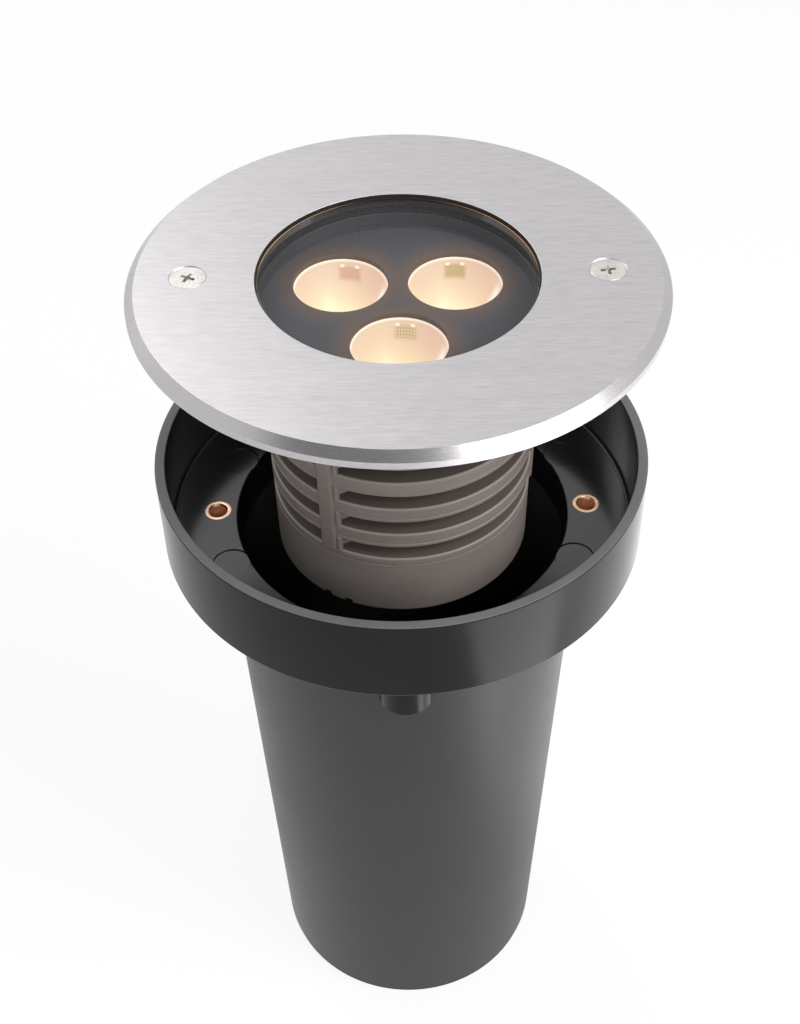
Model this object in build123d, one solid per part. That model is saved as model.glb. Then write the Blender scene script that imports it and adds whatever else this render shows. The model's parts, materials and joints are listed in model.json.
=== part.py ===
from build123d import *
from math import asin, cos, degrees, radians, sin, tan
import os

# In ground well light: a plastic pot that is buried, and a luminaire that lifts out of it.
# Millimetres, +Z up. The origin is on the pot's axis, on the ground under its base.
# The luminaire is modelled lifted out of the pot, as it stands for fitting or service.

# ---- luminaire, outwards from the light opening ----
opening_radius = 31.5
glass_gap = 0.2
glass_lap = 3.1
glass_seat_gap = 0.2
stud_land = 4.6
stud_radius = 1.5
stud_hole_gap = 0.15
stud_count = 4
stud_start_angle = 45
stud_tail = 3.6
nut_flats = 5.5
nut_height = 2.4
nut_wall_gap = 0.4
flange_edge = 3.0
flange_thickness = 5.0
screw_past_flange = 3.8
neck_length = 4.7

bezel_thickness = 3.5
bezel_chamfer_width = 2.05
bezel_chamfer_height = 1.8
bezel_overhang = 0.6
opening_edge_break = 0.3

glass_below_face = 0.9
front_gasket_thickness = 0.6
glass_flange_thickness = 3.0
rear_gasket_thickness = 0.8
gasket_edge_gap = 0.1
gasket_bore_gap = 0.4
trim_ring_height = 2.5
trim_ring_top_wall = 0.4
trim_ring_foot_wall = 0.8
trim_ring_gap = 0.1
lens_plate_thickness = 1.2
lens_plate_gap = 0.2

optic_circle_radius = 15.0
optic_angles = {"left": 150, "right": 30, "front": 270}
optic_mouth_radius = 10.6
optic_wall = 0.8
optic_foot_bore = 3.0
optic_height = 10.2
optic_bands = 5
plate_hole_gap = 0.15
optic_cavity_gap = 1.2

led_side = 3.6
led_height = 0.8
led_board_thickness = 1.6
led_board_gap = 0.5
thermal_pad_thickness = 0.5
board_screw_circle_radius = 20.5
board_screw_radius = 1.25
board_screw_head_radius = 2.3
board_screw_head_height = 1.5
board_screw_length = 5.5
fastener_gap = 0.05
lead_radius = 0.7
lead_spacing = 2.6
lead_bore_radius = 2.8
web_thickness = 6.0

driver_cavity_radius = 20.5
core_wall = 4.0
fin_depth = 6.7
housing_draft = 1.2
slot_count = 4
slot_height = 3.9
slot_root_taper = 0.3
fin_thickness = 4.2
land_height = 2.1
housing_roof = 0.6
column_count = 3
column_angle = 236.8
column_width = 4.2
column_depth = 3.5
column_proud = 0.55
column_edge_radius = 0.8
bead_width = 0.4
slot_ramp_length = 3.4
slot_ramp_height = 3.3
slot_ramp_setback = 0.5
seam_chamfer = 0.25

cover_height = 15.7
cover_floor = 3.0
cover_draft = 0.8
cover_foot_edge = 0.8
cover_bore_radius = 19.4
driver_board_radius = 21.6
driver_board_gap = 0.3
driver_board_thickness = 1.6
cover_key_width = 3.4
cover_screw_circle_radius = 27.4
cover_screw_radius = 1.25
cover_screw_head_radius = 2.25
cover_screw_head_height = 2.5
cover_screw_socket_flats = 2.0
cover_screw_socket_depth = 1.3
cover_screw_pocket_gap = 0.25
cover_screw_pocket_depth = 3.0
cover_screw_reach = 8.0
cover_screw_end_gap = 1.0
pry_notch_width = 2.2
pry_notch_height = 1.5
pry_notch_depth = 2.0
pry_notch_offset = 2.9
pry_notch_swing = 2.4
o_ring_radius = 23.4
o_ring_section = 0.9
o_ring_sides = 8
o_ring_groove_gap = 0.05

choke_length = 15.0
choke_width = 12.0
choke_height = 13.0
choke_offset = 9.5
capacitor_radius = 4.0
capacitor_height = 14.0
capacitor_offset = 9.5
capacitor_spacing = 10.0
terminal_length = 14.0
terminal_width = 8.0
terminal_height = 7.0
terminal_offset = 11.0
terminal_port_side = 3.0

# ---- cable gland under the rear cover ----
gland_thread_radius = 6.0
gland_hole_gap = 0.1
gland_hex_flats = 15.0
gland_hex_height = 3.5
gland_locknut_height = 2.8
gland_stub_past_nut = 1.0
gland_lower_radius = 5.6
gland_lower_length = 7.4
gland_bore_radius = 3.9
gland_mouth_radius = 4.9
gland_mouth_depth = 3.0
seal_gap = 0.1
seal_bore_radius = 3.3
seal_length = 7.0
cap_shoulder_gap = 0.3
cap_thread_gap = 0.08
cap_hex_length = 8.0
cap_end_wall = 2.4
cap_dome_edge = 2.2
cap_seal_gap = 0.35
cap_hole_radius = 4.3

# ---- bezel screws ----
screw_radius = 2.0
screw_fit = 0.08
screw_head_radius = 4.0
screw_head_side_gap = 0.11
countersink_radius = 4.25
screw_length = 30.0
screw_tip_chamfer = 0.5
cross_span = 4.4
cross_width = 0.95
cross_depth = 1.4
cross_taper = 9
screw_cross_angles = {"left": 63, "right": 10}
retainer_radius = 3.0
retainer_thickness = 1.0
retainer_gap = 0.3

# ---- pot ----
pot_height = 191.5
rest_lift = 47.0
collar_height = 22.8
collar_past_screw = 13.2
collar_wall = 2.5
rim_edge_break = 0.4
ledge_thickness = 2.2
ledge_corner = 2.0
insert_radius = 3.4
insert_length = 8.0
insert_chamfer = 0.4
insert_margin = 1.6
ledge_lip = 1.9
barrel_wall = 2.4
barrel_taper = 2.2
socket_gap = 0.1
spigot_length = 9.0
boss_count = 4
boss_radius = 6.5
boss_drop = 15.4
boss_gap = 0.1
mark_radius = 4.6
mark_depth = 0.3
mark_swing = 24
mark_inset = 0.7
base_foot_edge = 0.8
base_foot_thickness = 1.2
base_floor_thickness = 3.4
base_plug_height = 4.0
base_plug_wall = 2.6
drain_hole_radius = 3.0
drain_hole_count = 6
drain_circle_radius = 24.0
cable_hole_radius = 6.2
cable_recess_radius = 9.0
cable_recess_depth = 1.4
grommet_lip = 2.2
grommet_gap = 0.1
grommet_floor_gap = 0.3
grommet_upper_lip = 1.4
grommet_nipple_radius = 5.0
grommet_nipple_height = 5.0
grommet_bore_radius = 3.6

# ---- radii that follow from the opening outwards ----
glass_step_radius = opening_radius - glass_gap
glass_radius = opening_radius + glass_lap
glass_recess_radius = glass_radius + glass_seat_gap
stud_circle_radius = glass_recess_radius + stud_land
flange_radius = stud_circle_radius + flange_edge
neck_radius = stud_circle_radius - nut_flats / 2 / cos(radians(30)) - nut_wall_gap
screw_circle_radius = flange_radius + screw_past_flange
ledge_hole_radius = screw_circle_radius - insert_radius - insert_margin
barrel_bore_radius = ledge_hole_radius + ledge_lip
barrel_top_radius = barrel_bore_radius + barrel_wall
collar_radius = screw_circle_radius + collar_past_screw
bezel_radius = collar_radius + bezel_overhang
bezel_hole_radius = screw_radius + screw_fit
optic_cavity_radius = optic_circle_radius + optic_mouth_radius + optic_wall + optic_cavity_gap
led_board_radius = optic_cavity_radius - led_board_gap
core_radius = driver_cavity_radius + core_wall
housing_foot_radius = core_radius + fin_depth

# ---- heights that follow, from the pot's base up and from the bezel down ----
collar_underside = pot_height - collar_height
ledge_top = collar_underside + ledge_thickness
bezel_underside = pot_height + rest_lift
bezel_top = bezel_underside + bezel_thickness
glass_top = bezel_top - glass_below_face
glass_flange_top = bezel_underside - front_gasket_thickness
glass_bottom = glass_flange_top - glass_flange_thickness
glass_seat = glass_bottom - rear_gasket_thickness
flange_underside = bezel_underside - flange_thickness
neck_underside = flange_underside - neck_length
lens_plate_top = glass_bottom - trim_ring_gap - trim_ring_height
lens_plate_seat = lens_plate_top - lens_plate_thickness
led_board_top = lens_plate_seat - optic_height
led_board_underside = led_board_top - led_board_thickness
web_top = led_board_underside - thermal_pad_thickness
web_underside = web_top - web_thickness
top_slot_roof = web_underside - housing_roof
slot_pitch = slot_height + fin_thickness
land_top = top_slot_roof - slot_count * slot_pitch + fin_thickness
seam_height = land_top - land_height
cover_underside = seam_height - cover_height
cover_floor_top = cover_underside + cover_floor
driver_board_underside = seam_height - driver_board_thickness


def turned(corners):
    """Solid of revolution about Z from its (radius, height) corners."""
    outline = Plane.XZ * Polyline(*corners, close=True)
    return revolve(make_face(outline), Axis.Z)


def turned_sector(corners, start_angle, sweep):
    """Part of a turn about Z, from start_angle on."""
    outline = Plane.XZ * Polyline(*corners, close=True)
    return Rot(Z=start_angle) * revolve(make_face(outline), Axis.Z, sweep)


def tube(outer, inner, bottom, top):
    """Plain ring between two heights."""
    return turned([(inner, bottom), (outer, bottom), (outer, top), (inner, top)])


def post(radius, bottom, top, at=(0, 0)):
    """Plain upright cylinder between two heights."""
    return Pos(at[0], at[1], bottom) * extrude(Circle(radius), top - bottom)


def block(length, width, bottom, top, at=(0, 0)):
    """Plain upright block between two heights."""
    return Pos(at[0], at[1], bottom) * extrude(Rectangle(length, width), top - bottom)


def hexagon(flats, bottom, top, at=(0, 0)):
    """Upright hexagon bar, measured across its flats."""
    side = RegularPolygon(flats / 2 / cos(radians(30)), 6)
    return Pos(at[0], at[1], bottom) * extrude(side, top - bottom)


def polar(radius, angle):
    """Point at a radius and an angle in the ground plane."""
    return (radius * cos(radians(angle)), radius * sin(radians(angle)))


def around(count, start=0):
    """Equal angles round a turn."""
    return [start + index * 360 / count for index in range(count)]


def barrel_radius(height):
    """Outer radius of the tapered barrel."""
    return barrel_top_radius - (collar_underside - height) * tan(radians(barrel_taper))


def housing_radius(height):
    """Outer radius of the drafted housing."""
    return housing_foot_radius + (height - seam_height) * tan(radians(housing_draft))


# ---------------------------------------------------------------- pot

def pot_collar():
    """Rim, ledge, the spigot that the barrel hangs on, and four screw bosses."""
    bore = collar_radius - collar_wall
    spigot_foot = collar_underside - spigot_length
    spigot_top_radius = barrel_bore_radius - socket_gap
    spigot_foot_radius = barrel_radius(spigot_foot) - barrel_wall - socket_gap
    profile = [
        (ledge_hole_radius, ledge_top),
        (ledge_hole_radius, spigot_foot),
        (spigot_foot_radius, spigot_foot),
        (spigot_top_radius, collar_underside),
        (collar_radius - rim_edge_break, collar_underside),
        (collar_radius, collar_underside + rim_edge_break),
        (collar_radius, pot_height - rim_edge_break),
        (collar_radius - rim_edge_break, pot_height),
        (bore + rim_edge_break, pot_height),
        (bore, pot_height - rim_edge_break),
        (bore, ledge_top + ledge_corner),
        (bore - ledge_corner, ledge_top),
    ]
    collar = turned(profile)
    well = post(ledge_hole_radius, spigot_foot - boss_drop, pot_height)
    for angle in around(boss_count):
        centre = polar(screw_circle_radius, angle)
        boss = post(boss_radius, collar_underside - boss_drop, collar_underside + ledge_thickness / 2, centre)
        collar += boss - well
    for angle in around(2):
        centre = polar(screw_circle_radius, angle)
        collar -= post(insert_radius, ledge_top - insert_length, ledge_top, centre)
        for swing in (-mark_swing, mark_swing):
            mark = polar(screw_circle_radius - mark_inset, angle + swing)
            collar -= post(mark_radius, ledge_top - mark_depth, ledge_top, mark)
    return collar


def pot_barrel():
    """Tapered tube with an open notch round each boss."""
    foot = base_foot_thickness
    barrel = turned([
        (barrel_radius(foot) - barrel_wall, foot),
        (barrel_radius(foot), foot),
        (barrel_top_radius, collar_underside),
        (barrel_bore_radius, collar_underside),
    ])
    for angle in around(boss_count):
        centre = polar(screw_circle_radius, angle)
        notch_foot = collar_underside - boss_drop - boss_gap
        barrel -= post(boss_radius + boss_gap, notch_foot, collar_underside, centre)
    return barrel


def pot_base():
    """Closing disc with a plug rim, drain holes and a recessed cable hole."""
    foot_radius = barrel_radius(base_foot_thickness) - base_foot_edge
    plug_radius = barrel_radius(base_foot_thickness) - barrel_wall - socket_gap
    plug_top = base_foot_thickness + base_plug_height
    base = turned([
        (cable_hole_radius, cable_recess_depth),
        (cable_recess_radius, cable_recess_depth),
        (cable_recess_radius, 0),
        (foot_radius, 0),
        (foot_radius, base_foot_thickness),
        (plug_radius, base_foot_thickness),
        (plug_radius, plug_top),
        (plug_radius - base_plug_wall, plug_top),
        (plug_radius - base_plug_wall, base_floor_thickness),
        (cable_hole_radius, base_floor_thickness),
    ])
    for angle in around(drain_hole_count, 30):
        base -= post(drain_hole_radius, 0, base_floor_thickness, polar(drain_circle_radius, angle))
    return base


def cable_grommet():
    """Rubber bush in the base's cable hole, clear of the ground."""
    waist = cable_hole_radius - grommet_gap
    lip = cable_hole_radius + grommet_lip
    lip_top = base_floor_thickness + grommet_upper_lip
    return turned([
        (grommet_bore_radius, grommet_floor_gap),
        (lip, grommet_floor_gap),
        (lip, cable_recess_depth),
        (waist, cable_recess_depth),
        (waist, base_floor_thickness),
        (lip, base_floor_thickness),
        (lip, lip_top),
        (grommet_nipple_radius + grommet_gap, lip_top),
        (grommet_nipple_radius - grommet_gap, lip_top + grommet_nipple_height),
        (grommet_bore_radius, lip_top + grommet_nipple_height),
    ])


def threaded_insert(angle):
    """Brass bush for a bezel screw, flush with the ledge."""
    bush = tube(insert_radius, bezel_hole_radius, ledge_top - insert_length, ledge_top)
    rims = bush.edges().filter_by(GeomType.CIRCLE).group_by(Axis.Z)[-1]
    bush = chamfer(rims.sort_by(SortBy.RADIUS)[0], insert_chamfer)
    centre = polar(screw_circle_radius, angle)
    return Pos(centre[0], centre[1], 0) * bush


# ---------------------------------------------------------------- bezel and glass

def bezel_ring():
    """Flat stainless ring with a bevelled edge and two countersunk holes."""
    ring = turned([
        (opening_radius, bezel_underside),
        (bezel_radius, bezel_underside),
        (bezel_radius, bezel_top - bezel_chamfer_height),
        (bezel_radius - bezel_chamfer_width, bezel_top),
        (opening_radius + opening_edge_break, bezel_top),
        (opening_radius, bezel_top - opening_edge_break),
    ])
    sink = turned([
        (0, bezel_underside),
        (bezel_hole_radius, bezel_underside),
        (bezel_hole_radius, bezel_top - countersink_radius + bezel_hole_radius),
        (countersink_radius, bezel_top),
        (0, bezel_top),
    ])
    for angle in around(2):
        centre = polar(screw_circle_radius, angle)
        ring -= Pos(centre[0], centre[1], 0) * sink
    return ring


def bezel_studs():
    """Studs welded under the bezel, which hold the housing to it."""
    foot = flange_underside - stud_tail
    places = [polar(stud_circle_radius, angle) for angle in around(stud_count, stud_start_angle)]
    return Compound([post(stud_radius, foot, bezel_underside, place) for place in places])


def stud_nuts():
    """Nuts that clamp the housing's flange on the studs."""
    nuts = []
    for angle in around(stud_count, stud_start_angle):
        centre = polar(stud_circle_radius, angle)
        nut = hexagon(nut_flats, flange_underside - nut_height, flange_underside, centre)
        bore = post(stud_radius + fastener_gap, flange_underside - nut_height, flange_underside, centre)
        nuts.append(nut - bore)
    return Compound(nuts)


def front_gasket():
    """Silicone ring between the bezel and the glass."""
    bore = opening_radius + gasket_bore_gap
    return tube(glass_radius - gasket_edge_gap, bore, glass_flange_top, bezel_underside)


def front_glass():
    """Stepped toughened glass, held by its flange and nearly flush with the bezel."""
    return turned([
        (0, glass_bottom),
        (glass_radius, glass_bottom),
        (glass_radius, glass_flange_top),
        (glass_step_radius, glass_flange_top),
        (glass_step_radius, glass_top),
        (0, glass_top),
    ])


def rear_gasket():
    """Silicone ring between the glass and its seat in the housing."""
    bore = opening_radius + gasket_bore_gap
    return tube(glass_radius - gasket_edge_gap, bore, glass_seat, glass_bottom)


def trim_ring():
    """Tapered dark ring between the glass and the lens plate."""
    outer = opening_radius - trim_ring_gap
    top = glass_bottom - trim_ring_gap
    return turned([
        (outer - trim_ring_foot_wall, lens_plate_top),
        (outer, lens_plate_top),
        (outer, top),
        (outer - trim_ring_top_wall, top),
    ])


# ---------------------------------------------------------------- light engine

def lens_plate():
    """Dark disc with a hole over each optic."""
    plate = post(opening_radius - lens_plate_gap, lens_plate_seat, lens_plate_top)
    for angle in optic_angles.values():
        centre = polar(optic_circle_radius, angle)
        plate -= post(optic_mouth_radius + plate_hole_gap, lens_plate_seat, lens_plate_top, centre)
    return plate


def optic(angle):
    """Parabolic reflector in facetted bands, from the light source up to the lens plate."""
    bore = []
    for band in range(optic_bands + 1):
        share = band / optic_bands
        radius = optic_foot_bore + share * (optic_mouth_radius - optic_foot_bore)
        bore.append((radius, led_board_top + share**2 * optic_height))
    back = [(radius + optic_wall, height) for radius, height in reversed(bore)]
    centre = polar(optic_circle_radius, angle)
    return Pos(centre[0], centre[1], 0) * turned(bore + back)


def light_source(angle):
    """Square light source on the board, in the foot of its optic."""
    centre = polar(optic_circle_radius, angle)
    return block(led_side, led_side, led_board_top, led_board_top + led_height, centre)


def board_screw_places():
    """Places of the light board's screws, between the optics."""
    return [polar(board_screw_circle_radius, angle + 60) for angle in optic_angles.values()]


def led_board():
    """Round light board with screw holes and a hole for the leads."""
    board = post(led_board_radius, led_board_underside, led_board_top)
    for centre in board_screw_places():
        board -= post(board_screw_radius + fastener_gap, led_board_underside, led_board_top, centre)
    return board


def thermal_pad():
    """Soft pad that carries the board's heat into the housing."""
    pad = post(led_board_radius, web_top, led_board_underside)
    pad -= post(lead_bore_radius, web_top, led_board_underside)
    for centre in board_screw_places():
        pad -= post(board_screw_radius + fastener_gap, web_top, led_board_underside, centre)
    return pad


def board_screws():
    """Screws that hold the light board to the housing's web."""
    screws = []
    for centre in board_screw_places():
        head = post(board_screw_head_radius, led_board_top, led_board_top + board_screw_head_height, centre)
        shank = post(board_screw_radius, led_board_top - board_screw_length, led_board_top, centre)
        screws.append(head + shank)
    return Compound(screws)


def led_leads():
    """Two insulated leads from the driver up to the light board."""
    leads = []
    for side in (-1, 1):
        centre = (side * lead_spacing / 2, 0)
        leads.append(post(lead_radius, seam_height, led_board_underside, centre))
    return Compound(leads)


# ---------------------------------------------------------------- finned housing

def housing_blank():
    """Turned form of the housing: glass seat, flange, neck, drafted body and both cavities."""
    return turned([
        (lead_bore_radius, web_top),
        (optic_cavity_radius, web_top),
        (optic_cavity_radius, lens_plate_seat),
        (opening_radius, lens_plate_seat),
        (opening_radius, glass_seat),
        (glass_recess_radius, glass_seat),
        (glass_recess_radius, bezel_underside),
        (flange_radius, bezel_underside),
        (flange_radius, flange_underside),
        (neck_radius, flange_underside),
        (neck_radius, neck_underside),
        (housing_radius(neck_underside), neck_underside),
        (housing_radius(seam_height + seam_chamfer), seam_height + seam_chamfer),
        (housing_foot_radius - seam_chamfer, seam_height),
        (driver_cavity_radius, seam_height),
        (driver_cavity_radius, web_underside),
        (lead_bore_radius, web_underside),
    ])


def housing_slot(roof, start_angle, sweep):
    """One cooling slot between two columns, a little narrower at its root."""
    floor = roof - slot_height
    outside = housing_radius(roof) + column_proud + 2
    return turned_sector([
        (core_radius, floor + slot_root_taper),
        (outside, floor),
        (outside, roof),
        (core_radius, roof - slot_root_taper),
    ], start_angle, sweep)


def slot_ramp(roof, angle):
    """Sloping web that tapers the end of a slot beside its bead."""
    radial = polar(1, angle)
    tangent = polar(1, angle + 90)
    upright = Plane(
        origin=(radial[0] * core_radius, radial[1] * core_radius, roof),
        x_dir=(tangent[0], tangent[1], 0),
        z_dir=(radial[0], radial[1], 0),
    )
    web = Polyline(
        (-slot_root_taper, slot_root_taper),
        (slot_ramp_length, slot_root_taper),
        (slot_ramp_length, 0),
        (0, -slot_ramp_height),
        (-slot_root_taper, -slot_ramp_height),
        close=True,
    )
    reach = housing_radius(roof) - core_radius - slot_ramp_setback
    return extrude(make_face(upright * web), reach)


def column(angle):
    """Upright pilaster that stands proud of the fins and carries a cover screw."""
    length = neck_underside - land_top + column_edge_radius
    section = RectangleRounded(column_depth, column_width, column_edge_radius)
    bar = extrude(section, length)
    face = housing_radius(land_top) + column_proud
    leant = Pos(face - column_depth / 2, 0, land_top) * Rot(Y=housing_draft) * bar
    return Rot(Z=angle) * leant


def heatsink_housing():
    """Die-cast housing with four rows of cooling slots between three columns."""
    housing = housing_blank()
    half_column = degrees(asin(column_width / 2 / housing_foot_radius))
    bead_angle = degrees(bead_width / housing_foot_radius)
    sweep = 360 / column_count - 2 * half_column - bead_angle
    roofs = [top_slot_roof - row * slot_pitch for row in range(slot_count)]
    for angle in around(column_count, column_angle):
        start = angle + half_column + bead_angle
        for roof in roofs:
            housing -= housing_slot(roof, start, sweep)
    for angle in around(column_count, column_angle):
        housing += column(angle)
        for roof in roofs:
            housing += slot_ramp(roof, angle + half_column + bead_angle)
    for angle in around(column_count, column_angle):
        centre = polar(cover_screw_circle_radius, angle)
        depth = cover_screw_reach + cover_screw_end_gap
        housing -= post(cover_screw_radius + fastener_gap, seam_height, seam_height + depth, centre)
    for angle in around(stud_count, stud_start_angle):
        centre = polar(stud_circle_radius, angle)
        housing -= post(stud_radius + stud_hole_gap, flange_underside, bezel_underside, centre)
    for centre in board_screw_places():
        foot = led_board_top - board_screw_length - fastener_gap
        housing -= post(board_screw_radius + fastener_gap, foot, web_top, centre)
    groove = o_ring_section + o_ring_groove_gap
    groove_top = seam_height + 2 * groove
    return housing - tube(o_ring_radius + groove, o_ring_radius - groove, seam_height, groove_top)


def housing_o_ring():
    """Seal between the housing and the rear cover."""
    middle = seam_height + o_ring_section
    corners = []
    for angle in around(o_ring_sides):
        reach = polar(o_ring_section, angle)
        corners.append((o_ring_radius + reach[0], middle + reach[1]))
    return turned(corners)


# ---------------------------------------------------------------- rear cover and driver

def rear_cover():
    """Closing cap with a board seat, screw pockets, a gland hole and pry notches."""
    foot_radius = housing_foot_radius - cover_height * tan(radians(cover_draft))
    board_seat_radius = driver_board_radius + driver_board_gap
    gland_hole = gland_thread_radius + gland_hole_gap
    cover = turned([
        (gland_hole, cover_underside),
        (foot_radius - cover_foot_edge, cover_underside),
        (foot_radius, cover_underside + cover_foot_edge),
        (housing_foot_radius, seam_height - seam_chamfer),
        (housing_foot_radius - seam_chamfer, seam_height),
        (board_seat_radius, seam_height),
        (board_seat_radius, driver_board_underside),
        (cover_bore_radius, driver_board_underside),
        (cover_bore_radius, cover_floor_top),
        (gland_hole, cover_floor_top),
    ])
    key_centre = (0, -housing_foot_radius + cover_key_width / 2)
    key = block(cover_key_width, cover_key_width, seam_height - 2 * seam_chamfer, seam_height, key_centre)
    cover += key & post(housing_foot_radius, cover_underside, seam_height)
    for angle in around(column_count, column_angle):
        centre = polar(cover_screw_circle_radius, angle)
        cover -= post(cover_screw_radius + fastener_gap, cover_underside, seam_height, centre)
        pocket = cover_screw_head_radius + cover_screw_pocket_gap
        cover -= post(pocket, cover_underside, cover_underside + cover_screw_pocket_depth, centre)
        for side in (-1, 1):
            place = (foot_radius, side * pry_notch_offset)
            roof = cover_underside + pry_notch_height
            bite = block(2 * pry_notch_depth, pry_notch_width, cover_underside, roof, place)
            cover -= Rot(Z=angle + pry_notch_swing) * bite
    return cover


def cover_screws():
    """Screws up through the rear cover into the housing's columns."""
    screws = []
    seat = cover_underside + cover_screw_pocket_depth
    for angle in around(column_count, column_angle):
        centre = polar(cover_screw_circle_radius, angle)
        head = post(cover_screw_head_radius, seat - cover_screw_head_height, seat, centre)
        shank = post(cover_screw_radius, seat, seam_height + cover_screw_reach, centre)
        foot = seat - cover_screw_head_height
        socket = hexagon(cover_screw_socket_flats, foot, foot + cover_screw_socket_depth, centre)
        screws.append(head + shank - socket)
    return Compound(screws)


def driver_board():
    """Round circuit board clamped in the rear cover's seat."""
    return post(driver_board_radius, driver_board_underside, seam_height)


def driver_choke():
    """Wound choke on the driver board."""
    body = block(choke_length, choke_width, seam_height, seam_height + choke_height, (0, choke_offset))
    return chamfer(body.edges().filter_by(Axis.Z), choke_width / 8)


def driver_capacitors():
    """Two upright capacitors on the driver board."""
    cans = []
    for side in (-1, 1):
        centre = (side * capacitor_spacing / 2, -capacitor_offset)
        cans.append(post(capacitor_radius, seam_height, seam_height + capacitor_height, centre))
    return Compound(cans)


def mains_terminal():
    """Two-way terminal under the driver board, facing the gland."""
    foot = driver_board_underside - terminal_height
    body = block(terminal_width, terminal_length, foot, driver_board_underside, (terminal_offset, 0))
    for side in (-1, 1):
        port = (terminal_offset, side * terminal_length / 4)
        body -= block(terminal_port_side, terminal_port_side, foot, foot + terminal_port_side, port)
    return body


# ---------------------------------------------------------------- cable gland

gland_hex_underside = cover_underside - gland_hex_height
gland_foot = gland_hex_underside - gland_lower_length
seal_top = gland_foot + gland_mouth_depth
seal_foot = seal_top - seal_length
cap_top = gland_hex_underside - cap_shoulder_gap
cap_foot = seal_foot - cap_seal_gap - cap_end_wall


def gland_body():
    """Gland tube with its hexagon shoulder against the rear cover."""
    stub_top = cover_floor_top + gland_locknut_height + gland_stub_past_nut
    stem = turned([
        (gland_bore_radius, seal_top),
        (gland_mouth_radius, seal_top),
        (gland_mouth_radius, gland_foot),
        (gland_lower_radius, gland_foot),
        (gland_lower_radius, gland_hex_underside + gland_hex_height / 2),
        (gland_thread_radius, gland_hex_underside + gland_hex_height / 2),
        (gland_thread_radius, stub_top),
        (gland_bore_radius, stub_top),
    ])
    shoulder = hexagon(gland_hex_flats, gland_hex_underside, cover_underside)
    shoulder -= post(gland_bore_radius, gland_hex_underside, cover_underside)
    return stem + shoulder


def gland_locknut():
    """Nut inside the rear cover that holds the gland."""
    top = cover_floor_top + gland_locknut_height
    nut = hexagon(gland_hex_flats, cover_floor_top, top)
    return nut - post(gland_thread_radius + fastener_gap, cover_floor_top, top)


def gland_seal():
    """Rubber bush that grips the supply cable."""
    return tube(gland_mouth_radius - seal_gap, seal_bore_radius, seal_foot, seal_top)


def gland_cap():
    """Domed cap nut that squeezes the seal."""
    outer = gland_hex_flats / 2 / cos(radians(30))
    grip = hexagon(gland_hex_flats, cap_top - cap_hex_length, cap_top)
    dome = turned([
        (0, cap_foot),
        (outer - 2 * cap_dome_edge, cap_foot),
        (gland_hex_flats / 2, cap_foot + cap_dome_edge),
        (gland_hex_flats / 2, cap_top - cap_hex_length / 2),
        (0, cap_top - cap_hex_length / 2),
    ])
    cap = grip + dome
    cap -= post(gland_lower_radius + cap_thread_gap, gland_foot - cap_seal_gap, cap_top)
    cap -= post(gland_mouth_radius + cap_seal_gap, seal_foot - cap_seal_gap, cap_top)
    return cap - post(cap_hole_radius, cap_foot, cap_top)


# ---------------------------------------------------------------- bezel screws

def bezel_screw(angle, cross_angle):
    """Countersunk screw with a cross recess."""
    head_top = bezel_top - (countersink_radius - screw_head_radius - screw_head_side_gap)
    cone_foot = head_top - (screw_head_radius - screw_radius)
    tip = bezel_top - screw_length
    screw = turned([
        (0, tip),
        (screw_radius - screw_tip_chamfer, tip),
        (screw_radius, tip + screw_tip_chamfer),
        (screw_radius, cone_foot),
        (screw_head_radius, head_top),
        (0, head_top),
    ])
    for turn in (0, 90):
        arm = extrude(Rectangle(cross_span, cross_width), -cross_depth, taper=cross_taper)
        screw -= Pos(0, 0, head_top) * Rot(Z=cross_angle + turn) * arm
    centre = polar(screw_circle_radius, angle)
    return Pos(centre[0], centre[1], 0) * screw


def screw_retainer(angle):
    """Rubber washer that keeps a screw in the bezel when it is undone."""
    top = bezel_underside - retainer_gap
    washer = tube(retainer_radius, screw_radius + fastener_gap, top - retainer_thickness, top)
    centre = polar(screw_circle_radius, angle)
    return Pos(centre[0], centre[1], 0) * washer


nodes = {
    "pot_collar": pot_collar(),
    "pot_barrel": pot_barrel(),
    "pot_base": pot_base(),
    "cable_grommet": cable_grommet(),
    "insert_left": threaded_insert(180),
    "insert_right": threaded_insert(0),
    "bezel_ring": bezel_ring(),
    "bezel_studs": bezel_studs(),
    "stud_nuts": stud_nuts(),
    "front_gasket": front_gasket(),
    "front_glass": front_glass(),
    "rear_gasket": rear_gasket(),
    "trim_ring": trim_ring(),
    "lens_plate": lens_plate(),
    "led_board": led_board(),
    "thermal_pad": thermal_pad(),
    "board_screws": board_screws(),
    "led_leads": led_leads(),
    "heatsink_housing": heatsink_housing(),
    "housing_o_ring": housing_o_ring(),
    "rear_cover": rear_cover(),
    "cover_screws": cover_screws(),
    "driver_board": driver_board(),
    "driver_choke": driver_choke(),
    "driver_capacitors": driver_capacitors(),
    "mains_terminal": mains_terminal(),
    "gland_body": gland_body(),
    "gland_locknut": gland_locknut(),
    "gland_seal": gland_seal(),
    "gland_cap": gland_cap(),
    "screw_left": bezel_screw(180, screw_cross_angles["left"]),
    "screw_right": bezel_screw(0, screw_cross_angles["right"]),
    "retainer_left": screw_retainer(180),
    "retainer_right": screw_retainer(0),
}
for side, angle in optic_angles.items():
    nodes["optic_" + side] = optic(angle)
    nodes["light_source_" + side] = light_source(angle)

os.makedirs("parts", exist_ok=True)
for name, shape in nodes.items():
    export_step(shape, f"parts/{name}.step")
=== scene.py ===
"""Looks of an in ground well light: steel bezel, warm optics, finned housing and the pot below."""
import json
from math import asin, cos, pi, radians, sin, sqrt, tan

import bpy
import numpy as np
from bpy.props import FloatProperty, FloatVectorProperty, IntProperty, PointerProperty
from bpy.types import Operator, Panel, PropertyGroup
from mathutils import Matrix, Vector


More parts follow.
